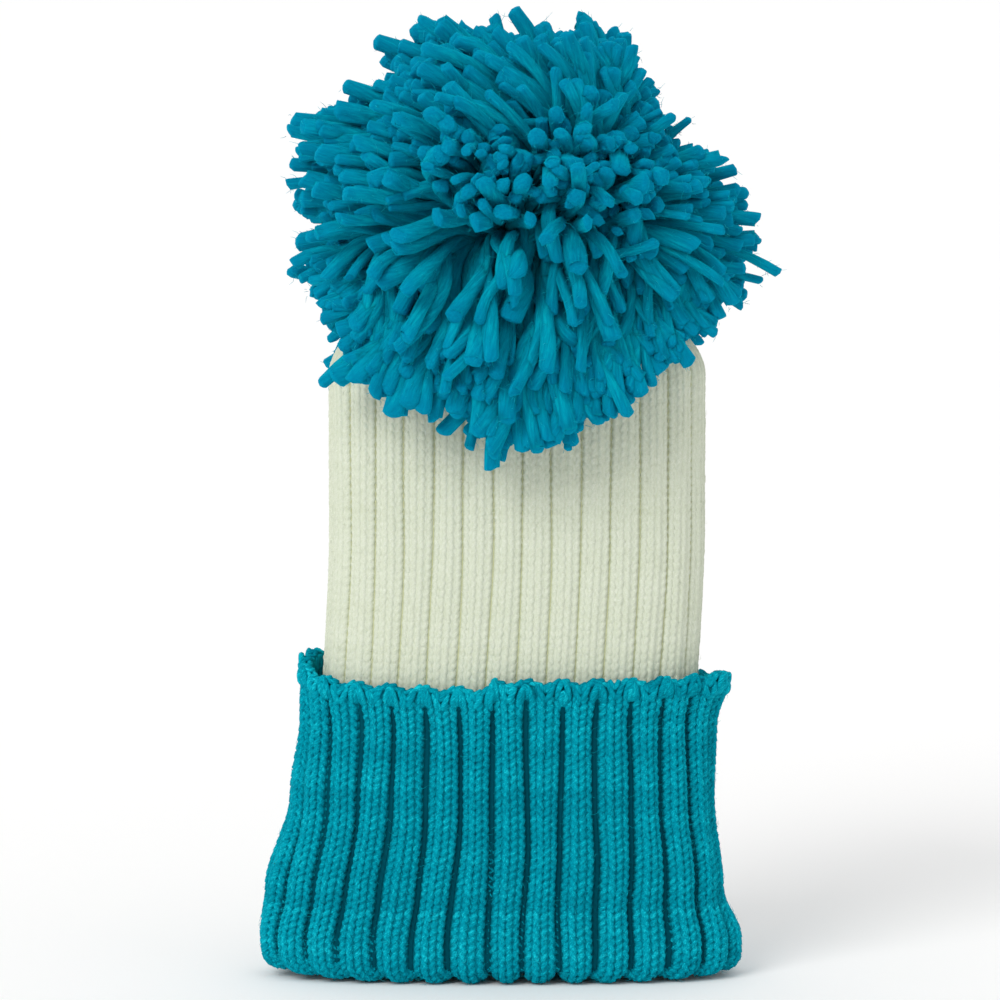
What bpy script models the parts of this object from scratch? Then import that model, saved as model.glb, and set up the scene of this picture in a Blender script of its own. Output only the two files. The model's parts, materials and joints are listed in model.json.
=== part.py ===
"""Knitted pom-pom head cover for a golf driver.

A flattened tube of 2x2 rib knit is gathered shut at the crown. Its lower end is a second
colour, folded up outside itself as a cuff. A pom-pom of cut bulky yarn is tied round its
middle, and the tie's tails pass through the crown's eye to a knot inside. The pom-pom
flops on those tails: it nods about X at the eye and sways about Y at the tie's knot.

Units are metres. X runs across the cover, -Y is its front, and +Z is up, with the mouth's
centre at the origin, level with the bottom of the fold.
"""
import math

import bmesh
import bpy
import numpy as np
from mathutils import Matrix, Vector

COLLECTION = "driver_head_cover"

# The knit
WALL = 0.0045              # rib knit, crest to crest
LAYER_GAP = 0.0018         # between the cuff's two layers, front and back
SECTION_POWER = 2.7        # superellipse exponent of the flattened tube
SECTION_POINTS = 44
TOUCH_GAP = 0.0003         # between pieces that rest on each other

# The cream body
BODY_HALF_WIDTH = 0.064
BODY_HALF_DEPTH = 0.023
JOIN_Z = 0.068             # the colour changes here, hidden inside the cuff
LEAN_X, LEAN_TOP_Z = -0.0022, 0.130   # the tube leans this far at the join
SHOULDER_Z, CROWN_Z = 0.205, 0.232
EYE_RADIUS = 0.0050
CROWN_ROUNDNESS = 0.8
CROWN_SHARES = (0.0, 0.2, 0.4, 0.58, 0.74, 0.87, 0.95, 1.0)   # of its quarter turn

# The turned-up cuff: height, centre's x, half-width, half-depth of its outer surface
CUFF_STATIONS = (
    (0.000, -0.0052, 0.0810, 0.0262),
    (0.012, -0.0056, 0.0812, 0.0265),
    (0.030, -0.0078, 0.0775, 0.0278),
    (0.062, -0.0051, 0.0722, 0.0293),
    (0.086, -0.0030, 0.0710, 0.0293),
    (0.101, -0.0008, 0.0726, 0.0297),
)
INNER_STRAIGHT_Z = 0.050   # above this the inner layer is as wide as the body
RIM_Z = 0.0968             # the outer layer's top edge, below the cast-off chain
RIM_SIDE_LIFT, RIM_BACK_LIFT, RIM_LIFT_FROM_Z = 0.0030, 0.0040, 0.060
FOLD_CORNER_LIFT, FOLD_LIFT_TO_Z = 0.0025, 0.040
CHAIN_RADIUS = 0.0020

# Sewing and gathering yarn
SEAM_RADIUS = 0.0005
SEAM_X = -0.009
GATHER_RADIUS, GATHER_RING = 0.0011, 0.0088
GATHER_KNOT_RADIUS = 0.0026

# The pom-pom and its tie
POM_CENTRE = Vector((0.0054, 0.0, 0.255))
POM_RADII = Vector((0.0820, 0.0725, 0.0755))
# Where the strands reach beyond the ellipsoid or stop short: direction, share, sharpness
POM_LOBES = (
    (Vector((-0.75, -0.15, 0.65)), 0.075, 4),
    (Vector((0.80, 0.00, 0.60)), -0.100, 6),
    (Vector((-0.10, -0.55, -0.83)), 0.050, 4),
)
TIE_RING, TIE_RADIUS, TIE_CENTRE_Z = 0.0090, 0.0019, 0.2535
TIE_ROOM = 0.0008          # between the tie and the strands
SWAY_Z = 0.2395            # the sway's axis, through the tie's knot
TIE_KNOT_RADIUS = 0.0030
TAIL_RADIUS = 0.0018
ANCHOR_KNOT_RADII = Vector((0.0068, 0.0060, 0.0040))
ANCHOR_DROP = 0.0016       # below the crown's inner face, so that the knot can tilt
NOD_DEG, SWAY_DEG = 12.0, 15.0
SWEEP_STEPS = (-1.0, -0.5, 0.0, 0.5, 1.0)
SWEEP_MARGIN = 0.0016      # the strands stay this far from the crown at every tilt


def clear_scene():
    for obj in list(bpy.data.objects):
        bpy.data.objects.remove(obj, do_unlink=True)


def new_collection(name, parent=None):
    collection = bpy.data.collections.new(name)
    (parent or bpy.context.scene.collection).children.link(collection)
    return collection


def material(name, colour, roughness):
    made = bpy.data.materials.new(name)
    made.use_nodes = True
    shader = made.node_tree.nodes["Principled BSDF"]
    shader.inputs["Base Color"].default_value = (*colour, 1.0)
    shader.inputs["Roughness"].default_value = roughness
    shader.inputs["Metallic"].default_value = 0.0
    return made


def add_object(name, data, collection, look=None):
    obj = bpy.data.objects.new(name, data)
    collection.objects.link(obj)
    if look:
        data.materials.append(look)
    return obj


def mesh_from(name, form):
    """A mesh of what is in the BMesh, with its faces turned outwards and shaded smooth."""
    bmesh.ops.recalc_face_normals(form, faces=form.faces)
    mesh = bpy.data.meshes.new(name)
    form.to_mesh(mesh)
    form.free()
    mesh.shade_smooth()
    return mesh


def smooth(value):
    value = min(max(value, 0.0), 1.0)
    return value * value * (3.0 - 2.0 * value)


def between(stations, z):
    """The station values at height z, eased from each station to the next."""
    if z <= stations[0][0]:
        return stations[0][1:]
    for low, high in zip(stations, stations[1:]):
        if z <= high[0]:
            share = smooth((z - low[0]) / (high[0] - low[0]))
            return tuple(a + (b - a) * share for a, b in zip(low[1:], high[1:]))
    return stations[-1][1:]


def section(centre_x, half_width, half_depth, z):
    """Evenly spaced points round a flattened tube, anticlockwise from above."""
    turn = np.linspace(0.0, 2.0 * math.pi, 721)
    power = 2.0 / SECTION_POWER
    x = half_width * np.sign(np.cos(turn)) * np.abs(np.cos(turn)) ** power
    y = half_depth * np.sign(np.sin(turn)) * np.abs(np.sin(turn)) ** power
    length = np.concatenate([[0.0], np.cumsum(np.hypot(np.diff(x), np.diff(y)))])
    wanted = np.linspace(0.0, length[-1], SECTION_POINTS, endpoint=False)
    return [
        Vector((centre_x + px, py, z))
        for px, py in zip(np.interp(wanted, length, x), np.interp(wanted, length, y))
    ]


def loft(name, rings):
    """An open surface through rings that have the same number of points."""
    form = bmesh.new()
    rows = [[form.verts.new(point) for point in ring] for ring in rings]
    for lower, upper in zip(rows, rows[1:]):
        for i, vert in enumerate(lower):
            after = (i + 1) % len(lower)
            form.faces.new((vert, lower[after], upper[after], upper[i]))
    return mesh_from(name, form)


def thicken(obj, offset):
    """Turns an open knitted surface into cloth. Offset 0 keeps it in the middle."""
    solidify = obj.modifiers.new("cloth", "SOLIDIFY")
    solidify.thickness = WALL
    solidify.offset = offset
    solidify.use_even_offset = True


def tube(name, points, radius, collection, look, cyclic=False, resolution=2):
    """A yarn along the points, as a mesh whose caps are welded to its sides."""
    curve = bpy.data.curves.new(name, "CURVE")
    curve.dimensions = "3D"
    curve.bevel_depth = radius
    curve.bevel_resolution = resolution
    curve.use_fill_caps = not cyclic
    spline = curve.splines.new("POLY")
    spline.points.add(len(points) - 1)
    for target, point in zip(spline.points, points):
        target.co = (*point, 1.0)
    spline.use_cyclic_u = cyclic
    guide = add_object(name + "_path", curve, collection)
    bpy.context.view_layer.update()
    graph = bpy.context.evaluated_depsgraph_get()
    mesh = bpy.data.meshes.new_from_object(guide.evaluated_get(graph))
    bpy.data.objects.remove(guide, do_unlink=True)
    form = bmesh.new()
    form.from_mesh(mesh)
    bmesh.ops.remove_doubles(form, verts=form.verts, dist=1e-6)
    bpy.data.meshes.remove(mesh)
    return add_object(name, mesh_from(name, form), collection, look)


def ellipsoid(name, centre, radii, collection, look, subdivisions=2):
    form = bmesh.new()
    bmesh.ops.create_icosphere(form, subdivisions=subdivisions, radius=1.0)
    for vert in form.verts:
        vert.co = Vector(centre) + Vector(c * r for c, r in zip(vert.co, radii))
    return add_object(name, mesh_from(name, form), collection, look)


# ---- the knitted tube ----


def body_centre_x(z):
    return LEAN_X * smooth((LEAN_TOP_Z - z) / (LEAN_TOP_Z - JOIN_Z))


def crown_section(share, grow=0.0):
    """The body's section at a share of the crown's quarter turn, 0 at the shoulder."""
    close = math.cos(share * math.pi / 2) ** CROWN_ROUNDNESS
    half_width = EYE_RADIUS + (BODY_HALF_WIDTH - EYE_RADIUS) * close
    half_depth = EYE_RADIUS + (BODY_HALF_DEPTH - EYE_RADIUS) * close
    z = SHOULDER_Z + (CROWN_Z - SHOULDER_Z) * math.sin(share * math.pi / 2)
    return section(0.0, half_width + grow, half_depth + grow, z + grow * (1.0 - close))


def make_body_tube(collection, look):
    straight = [
        section(body_centre_x(z), BODY_HALF_WIDTH, BODY_HALF_DEPTH, z)
        for z in np.linspace(JOIN_Z + TOUCH_GAP, SHOULDER_Z, 6)[:-1]
    ]
    crown = [crown_section(share) for share in CROWN_SHARES]
    tube_object = add_object("body_tube", loft("body_tube", straight + crown), collection, look)
    thicken(tube_object, -1.0)


def cuff_outer(z, inset):
    """Section of the cuff's outer layer, this far in from its outer surface."""
    centre, half_width, half_depth = between(CUFF_STATIONS, z)
    return centre, half_width - inset, half_depth - inset


def cuff_inner(z, inset):
    """The same for the inner layer, whose upper part lines up with the body."""
    centre, half_width, half_depth = cuff_outer(z, WALL + LAYER_GAP + inset)
    share = smooth(z / INNER_STRAIGHT_Z)
    return (
        centre + (body_centre_x(JOIN_Z) - centre) * share,
        half_width + (BODY_HALF_WIDTH - inset - half_width) * share,
        min(half_depth, BODY_HALF_DEPTH - inset),
    )


def side_share(point):
    return min(abs(point.x) / CUFF_STATIONS[1][2], 1.0)


def lift_fold(ring):
    """Raises the fold towards the cuff's corners."""
    for point in ring:
        point.z += FOLD_CORNER_LIFT * side_share(point) ** 4 * (1.0 - smooth(point.z / FOLD_LIFT_TO_Z))
    return ring


def lift_rim(ring):
    """Raises the rim towards its sides and back."""
    for point in ring:
        rim = smooth((point.z - RIM_LIFT_FROM_Z) / (RIM_Z - RIM_LIFT_FROM_Z))
        back = smooth(0.5 + point.y / (2.0 * CUFF_STATIONS[-1][3]))
        point.z += rim * (RIM_SIDE_LIFT * side_share(point) ** 3 + RIM_BACK_LIFT * back)
    return ring


def cuff_rings():
    """Middle of the cuff's cloth, from the join down the inner layer and up the outer."""
    half_wall = WALL / 2
    turn_radius = (WALL + LAYER_GAP) / 2
    turn_z = half_wall + turn_radius
    inner = [section(*cuff_inner(z, half_wall), z) for z in np.linspace(JOIN_Z, turn_z, 7)]
    fold = []
    for angle in np.linspace(0.0, math.pi, 6)[1:-1]:
        z = turn_z - turn_radius * math.sin(angle)
        inset = half_wall + turn_radius * (1.0 + math.cos(angle))
        fold.append(section(*cuff_outer(z, inset), z))
    outer = [section(*cuff_outer(z, half_wall), z) for z in np.linspace(turn_z, RIM_Z, 8)]
    return [lift_fold(ring) for ring in inner + fold] + [lift_rim(lift_fold(ring)) for ring in outer]


def make_cuff(collection, look):
    cuff = add_object("turned_up_cuff", loft("turned_up_cuff", cuff_rings()), collection, look)
    thicken(cuff, 0.0)


def make_cast_off_chain(collection, look):
    """The cast-off edge: a chain of loops round the rim."""
    points = lift_rim(section(*cuff_outer(RIM_Z, WALL / 2), RIM_Z))
    for point in points:
        point.z += CHAIN_RADIUS + TOUCH_GAP
    tube("cast_off_chain", points, CHAIN_RADIUS, collection, look, cyclic=True)


def front_y(centre_x, half_width, half_depth):
    """Y of a section's front at the seam."""
    share = abs((SEAM_X - centre_x) / half_width) ** SECTION_POWER
    return -half_depth * (1.0 - share) ** (1.0 / SECTION_POWER)


def make_seams(collection, cream, teal):
    """The knitted panel's edges are sewn together down one groove at the front."""
    inside = WALL + SEAM_RADIUS + TOUCH_GAP
    body_points = [
        (
            SEAM_X,
            front_y(body_centre_x(z), BODY_HALF_WIDTH - inside, BODY_HALF_DEPTH - inside),
            z,
        )
        for z in np.linspace(JOIN_Z + 0.004, SHOULDER_Z - 0.006, 16)
    ]
    tube("body_seam_yarn", body_points, SEAM_RADIUS, collection, cream)
    between_layers = WALL + LAYER_GAP / 2
    cuff_points = [
        (SEAM_X, front_y(*cuff_outer(z, between_layers)), z)
        for z in np.linspace(WALL + LAYER_GAP + 0.004, RIM_Z - 0.002, 12)
    ]
    tube("cuff_seam_yarn", cuff_points, SEAM_RADIUS, collection, teal)


def make_crown_gather(collection, look):
    """The yarn that draws the last row shut lies round the eye, and is knotted at the back."""
    height = CROWN_Z + GATHER_RADIUS + TOUCH_GAP
    turn = np.linspace(0.0, 2.0 * math.pi, 24, endpoint=False)
    ring = [(GATHER_RING * math.cos(a), GATHER_RING * math.sin(a), height) for a in turn]
    tube("crown_gather_yarn", ring, GATHER_RADIUS, collection, look, cyclic=True)
    clear = GATHER_RING + GATHER_RADIUS + GATHER_KNOT_RADIUS + TOUCH_GAP
    ellipsoid(
        "crown_gather_knot",
        (0.0, clear, CROWN_Z + TOUCH_GAP + 0.6 * GATHER_KNOT_RADIUS),
        (GATHER_KNOT_RADIUS * 1.2, GATHER_KNOT_RADIUS, GATHER_KNOT_RADIUS * 0.6),
        collection,
        look,
    )


# ---- the pom-pom ----


def pom_reach(direction):
    """How far the strands reach in a direction, as a share of the ellipsoid's radius."""
    lobes = (share * max(direction.dot(towards), 0.0) ** sharp for towards, share, sharp in POM_LOBES)
    return 1.0 + sum(lobes)


def pom_form():
    form = bmesh.new()
    bmesh.ops.create_icosphere(form, subdivisions=4, radius=1.0)
    for vert in form.verts:
        reach = pom_reach(vert.co.normalized())
        vert.co = POM_CENTRE + Vector(c * r * reach for c, r in zip(vert.co, POM_RADII))
    return mesh_from("pom_strands", form)


def swept_crown():
    """Convex hull of everything the crown fills, seen from the pom-pom, over its tilts."""
    still = [point for share in CROWN_SHARES for point in crown_section(share, SWEEP_MARGIN)]
    low_z = POM_CENTRE.z - 1.2 * POM_RADII.z
    still += section(0.0, BODY_HALF_WIDTH + SWEEP_MARGIN, BODY_HALF_DEPTH + SWEEP_MARGIN, low_z)
    knot_reach = GATHER_RING + GATHER_RADIUS + 2.2 * GATHER_KNOT_RADIUS
    still += section(0.0, knot_reach, knot_reach, CROWN_Z + 2.0 * GATHER_KNOT_RADIUS)[::4]
    form = bmesh.new()
    for nod in SWEEP_STEPS:
        for sway in SWEEP_STEPS:
            tilt = (
                Matrix.Translation((0.0, 0.0, SWAY_Z))
                @ Matrix.Rotation(math.radians(SWAY_DEG * sway), 4, "Y")
                @ Matrix.Translation((0.0, 0.0, CROWN_Z - SWAY_Z))
                @ Matrix.Rotation(math.radians(NOD_DEG * nod), 4, "X")
                @ Matrix.Translation((0.0, 0.0, -CROWN_Z))
            )
            for point in still:
                form.verts.new(tilt @ point)
    hull = bmesh.ops.convex_hull(form, input=form.verts)
    spare = {item for item in hull["geom_interior"] if isinstance(item, bmesh.types.BMVert)}
    bmesh.ops.delete(form, geom=list(spare), context="VERTS")
    bmesh.ops.dissolve_limit(form, angle_limit=0.02, verts=form.verts, edges=form.edges)
    bmesh.ops.triangulate(form, faces=form.faces)
    return mesh_from("crown_sweep", form)


def cut(obj, mesh, collection):
    cutter = add_object(mesh.name, mesh, collection)
    cutter.display_type = "WIRE"
    cutter.hide_render = True
    boolean = obj.modifiers.new(mesh.name, "BOOLEAN")
    boolean.operation = "DIFFERENCE"
    boolean.solver = "EXACT"
    boolean.object = cutter


def tie_way():
    """The way down past the tie's knot, from its ring to the crown."""
    top_z = TIE_CENTRE_Z - TIE_RING
    form = bmesh.new()
    bmesh.ops.create_cone(
        form,
        cap_ends=True,
        segments=16,
        radius1=TIE_KNOT_RADIUS + 3 * TIE_ROOM,
        radius2=TIE_KNOT_RADIUS + TIE_ROOM,
        depth=top_z - CROWN_Z,
        matrix=Matrix.Translation((0.0, 0.0, (top_z + CROWN_Z) / 2)),
    )
    return mesh_from("tie_way", form)


def tie_ring_points():
    """The tie's loop stands upright and faces the front, round the strands' waist."""
    turn = np.linspace(0.0, 2.0 * math.pi, 20, endpoint=False)
    return [(TIE_RING * math.cos(a), 0.0, TIE_CENTRE_Z + TIE_RING * math.sin(a)) for a in turn]


def make_pom(collection, cutters, look):
    pom = add_object("pom_strands", pom_form(), collection, look)
    cut(pom, swept_crown(), cutters)
    cut(pom, tie_way(), cutters)
    groove = tube(
        "tie_groove", tie_ring_points(), TIE_RADIUS + TIE_ROOM, cutters, None, cyclic=True
    )
    groove_mesh = groove.data
    bpy.data.objects.remove(groove, do_unlink=True)
    cut(pom, groove_mesh, cutters)


def make_tie(collection, look):
    tube("pom_tie", tie_ring_points(), TIE_RADIUS, collection, look, cyclic=True)
    ellipsoid(
        "pom_tie_knot", (0.0, 0.0, SWAY_Z), (TIE_KNOT_RADIUS,) * 3, collection, look
    )


def make_tails(collection, look):
    """The tie's two tails, twisted together, and the knot that holds them inside."""
    top = SWAY_Z - TIE_KNOT_RADIUS - TOUCH_GAP
    knot_top = CROWN_Z - WALL - ANCHOR_DROP
    points = [(0.0, 0.0, z) for z in np.linspace(top, knot_top + TOUCH_GAP, 6)]
    tube("pom_tie_tails", points, TAIL_RADIUS, collection, look)
    ellipsoid(
        "pom_anchor_knot",
        (0.0, 0.0, knot_top - ANCHOR_KNOT_RADII.z),
        ANCHOR_KNOT_RADII,
        collection,
        look,
    )


def add_pivot(name, z, names, collection):
    """An empty on a joint's axis, which carries the pieces that turn about it."""
    pivot = add_object(name, None, collection)
    pivot.empty_display_size = 0.01
    pivot.location = (0.0, 0.0, z)
    for child_name in names:
        child = bpy.data.objects[child_name]
        child.parent = pivot
        child.matrix_parent_inverse = Matrix.Translation((0.0, 0.0, -z))
    return pivot


def main():
    clear_scene()
    parts = new_collection(COLLECTION)
    cutters = new_collection("cutters")
    cream = (0.72, 0.75, 0.64)
    teal = (0.003, 0.30, 0.40)
    make_body_tube(parts, material("cream_knit", cream, 0.95))
    make_cuff(parts, material("teal_knit", teal, 0.92))
    make_cast_off_chain(parts, material("teal_edge_yarn", teal, 0.92))
    make_seams(parts, material("cream_seam_yarn", cream, 0.95), material("teal_seam_yarn", teal, 0.92))
    make_crown_gather(parts, material("gather_yarn", cream, 0.95))
    make_pom(parts, cutters, material("pom_yarn", (0.002, 0.26, 0.36), 0.90))
    make_tie(parts, material("tie_yarn", teal, 0.90))
    make_tails(parts, material("tail_yarn", teal, 0.90))
    nod = add_pivot("pom_nod_axis", CROWN_Z, ["pom_tie_tails", "pom_anchor_knot"], parts)
    sway = add_pivot(
        "pom_sway_axis", SWAY_Z, ["pom_strands", "pom_tie", "pom_tie_knot"], parts
    )
    sway.parent = nod
    sway.matrix_parent_inverse = Matrix.Translation((0.0, 0.0, -CROWN_Z))


main()
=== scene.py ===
"""Looks of a knitted pom-pom driver head cover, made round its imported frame.

Every visible yarn is real geometry. The rib knit is one looping tube of yarn per row over
a closed backing cloth, the cuff's rim is a chain of cast-off links, and the pom-pom is
some thousands of cut strands that flare out of one tie.

Units are metres. X runs across the cover, -Y is its front and +Z is up.
"""
import json
import math

import bpy
import numpy as np
from mathutils import Matrix, Vector


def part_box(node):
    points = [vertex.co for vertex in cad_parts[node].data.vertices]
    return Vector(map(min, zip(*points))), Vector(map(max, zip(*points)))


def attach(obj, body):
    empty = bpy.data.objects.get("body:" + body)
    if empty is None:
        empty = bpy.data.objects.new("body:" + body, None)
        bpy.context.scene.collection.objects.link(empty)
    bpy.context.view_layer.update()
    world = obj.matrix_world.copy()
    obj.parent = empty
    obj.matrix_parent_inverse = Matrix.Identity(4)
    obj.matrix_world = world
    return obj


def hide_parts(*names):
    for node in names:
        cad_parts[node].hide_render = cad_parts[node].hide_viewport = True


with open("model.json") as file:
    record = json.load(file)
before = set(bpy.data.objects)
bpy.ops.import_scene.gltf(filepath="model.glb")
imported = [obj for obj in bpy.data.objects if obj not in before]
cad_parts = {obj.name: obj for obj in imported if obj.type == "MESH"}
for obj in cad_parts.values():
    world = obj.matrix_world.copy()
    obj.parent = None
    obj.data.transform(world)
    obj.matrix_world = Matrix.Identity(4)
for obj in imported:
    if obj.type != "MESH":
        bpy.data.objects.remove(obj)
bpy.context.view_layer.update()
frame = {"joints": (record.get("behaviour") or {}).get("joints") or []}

# ---- sizes taken from the frame ----
body_low, body_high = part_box("body_tube")
cuff_low, cuff_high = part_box("turned_up_cuff")
pom_low, pom_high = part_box("pom_strands")
tie_low, tie_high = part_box("pom_tie")
chain_low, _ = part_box("cast_off_chain")
gather_low, gather_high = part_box("crown_gather_yarn")
_, knot_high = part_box("crown_gather_knot")
tails_low, tails_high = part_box("pom_tie_tails")
BODY_HALF_WIDTH = body_high.x
BODY_HALF_DEPTH = body_high.y
JOIN_Z = body_low.z
CROWN_Z = body_high.z
CUFF_HALF_WIDTH = (cuff_high.x - cuff_low.x) / 2
CUFF_HALF_DEPTH = cuff_high.y
TIE_CENTRE = np.array((tie_low + tie_high) / 2)
JOINTS = {joint["name"]: joint for joint in frame["joints"]}

# ---- the knit ----
RIBS = 30  # round both the body and the cuff
WALL = 0.0045  # cloth thickness, crest to crest
LAYER_GAP = 0.0018  # between the cuff's two layers
ROW = 0.0028  # one row of stitches along the cloth
LOOP_POINTS = 11  # along one stitch
YARN_SIDES = 6
COLUMNS = 24  # sampled points a rib, round the cloth
SECTION_POWER = 2.7  # superellipse exponent of the flattened tube
SECTION_SAMPLES = 1441  # points round it
FRONT_SHARE = 0.75  # of the way round: the front's middle
WANDER_WAVES = (  # of the ribs: size, waves round, along, phase
    (1.0, 5, 31.0, 0.0), (0.7, 11, -47.0, 1.3), (0.5, 17, 83.0, 4.0),
)
RIB_EDGE, RIB_SIDE = 0.92, 0.16  # where its side begins, and its width, in columns
GROOVE_CLOSES_OVER = 0.013  # length over which a groove shuts under the rim
SHUT_WIDTH = 0.485  # a knit column's width there, in ribs
SHUT_RELIEF = 0.7  # share of the ribs' relief that goes there
DIP_ACROSS = np.array([-0.45, 0.0, 0.45])  # the yarn behind a groove, in grooves
DIP_DEPTHS = (0.0005, 0.0006, 0.0005)
THIN_YARN, YARN_TO_PITCH = 0.25, 0.95  # the yarn thins where the ribs draw together
YARN_STRAY = 0.0001  # how far it strays along the cloth
YARN_UNEVEN = 0.06  # and in thickness, as a share
YARN_TWIST = 900.0  # radians a metre
BACKING_PARTS = np.array([0.0, 0.03, 0.06, 0.10, 0.17, 0.27, 0.5, 0.73, 0.83, 0.90, 0.94, 0.97])
BACKING_MIN = 0.0006  # its least thickness
BACK_RELIEF = 0.8  # its back's ribs, as a share of its face's
PURL_HEIGHT = 0.0005  # of the purl bumps on a groove's floor
PURL_SIDE = 0.03  # width of a groove floor's edge, in ribs
PURL_WAVES = 8  # purl bumps across a rib

# ---- the body ----
SHOULDER_Z = 0.205
EYE_RADIUS = 0.0050
CROWN_ROUNDNESS = 0.8
LEAN_X, LEAN_TOP_Z = -0.0035, 0.155
BODY_GROOVE_X = 0.0017  # the groove nearest the middle of the front
BODY_WANDER = 0.022  # how far its ribs stray aside, in ribs
BODY_RINGS, CROWN_RINGS = 60, 41
BODY_KNIT_FROM = 0.012  # the first row, along from the join

# ---- the cuff: share of its height, centre, half-width and half-depth as shares ----
CUFF_SHAPE = (
    (0.000, -0.064, 1.014, 0.885),
    (0.118, -0.069, 1.022, 0.895),
    (0.294, -0.096, 0.970, 0.939),
    (0.608, -0.063, 0.898, 0.990),
    (0.843, -0.037, 0.882, 0.990),
    (0.990, -0.010, 0.902, 1.003),
)
INNER_STRAIGHT_Z = 0.050
RIM_Z = chain_low.z + 0.0042  # the outer layer's top edge, under its chain
CUFF_GROOVE_X, CUFF_GROOVE_LOW_X = 0.0035, 0.0017  # the same groove at rim and fold
CUFF_GROOVE_Z, CUFF_GROOVE_RISE = 0.016, 0.034  # where it leans from one to the other
CUFF_WANDER = 0.038
INNER_RINGS, FOLD_RINGS, OUTER_RINGS = 24, 17, 56
JOIN_GAP = 0.0006
KNIT_TO_RIM = 0.0012  # from the last row to the rim
FOLD_CORNER_LIFT, FOLD_LIFT_TO_Z = 0.0025, 0.040
RIM_SIDE_LIFT, RIM_BACK_LIFT, RIM_LIFT_FROM_Z = 0.0025, 0.0012, 0.060
RIM_TILT = 0.0062  # the back of the rim rises to the left and falls to the right
RIM_LUMP, RIM_LUMP_FROM_Z = 0.0009, 0.084  # the rim stands higher over a groove
SEAM_RIB = -1.0  # the groove that the seam runs down
SEAM_STEP = 0.0026  # the rim's two ends miss each other by this much


rng = np.random.default_rng(11)


def smooth(value):
    value = np.clip(value, 0.0, 1.0)
    return value * value * (3.0 - 2.0 * value)


def unit(vectors):
    return vectors / np.maximum(np.linalg.norm(vectors, axis=-1, keepdims=True), 1e-12)


# ---- meshes ----
CAP_RISE = 0.3  # how far a tube's end bulges, in its radii
CUT_RINGS = 3  # rings at a tube's end that lean with its cut
GRAIN_STEP = 0.137  # sets each tube's grain apart from the last one's
NONE = np.zeros((1, 1, 1))


def placed(obj):
    bpy.context.scene.collection.objects.link(obj)
    return obj


def build_mesh(name, points, quads, triangles=None, **fields):
    """A smooth-shaded mesh, with vectors at its points for its material to read."""
    triangles = np.zeros((0, 3), int) if triangles is None else triangles
    mesh = bpy.data.meshes.new(name)
    mesh.vertices.add(len(points))
    mesh.vertices.foreach_set("co", np.asarray(points, np.float32).ravel())
    mesh.loops.add(quads.size + triangles.size)
    corners = np.concatenate([quads.ravel(), triangles.ravel()])
    mesh.loops.foreach_set("vertex_index", corners.astype(np.int32))
    starts = [np.arange(len(quads)) * 4, quads.size + np.arange(len(triangles)) * 3]
    mesh.polygons.add(len(quads) + len(triangles))
    mesh.polygons.foreach_set("loop_start", np.concatenate(starts).astype(np.int32))
    mesh.update(calc_edges=True)
    for label, values in fields.items():
        layer = mesh.attributes.new(label, "FLOAT_VECTOR", "POINT")
        layer.data.foreach_set("vector", np.asarray(values, np.float32).ravel())
    mesh.shade_smooth()
    return mesh


def new_piece(body, look, mesh):
    """An object of this mesh that rides a body."""
    piece = placed(bpy.data.objects.new(mesh.name, mesh))
    mesh.materials.append(look)
    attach(piece, body)
    return piece


def grid_quads(rows, columns, closed_rows=False):
    """Quads between the points of a grid, round its columns and perhaps round its rows."""
    r = np.arange(rows if closed_rows else rows - 1)[:, None]
    c = np.arange(columns)[None, :]
    r2, c2 = (r + 1) % rows, (c + 1) % columns
    here = [r * columns + c, r * columns + c2, r2 * columns + c2, r2 * columns + c]
    return np.stack(here, -1).reshape(-1, 4)


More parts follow.
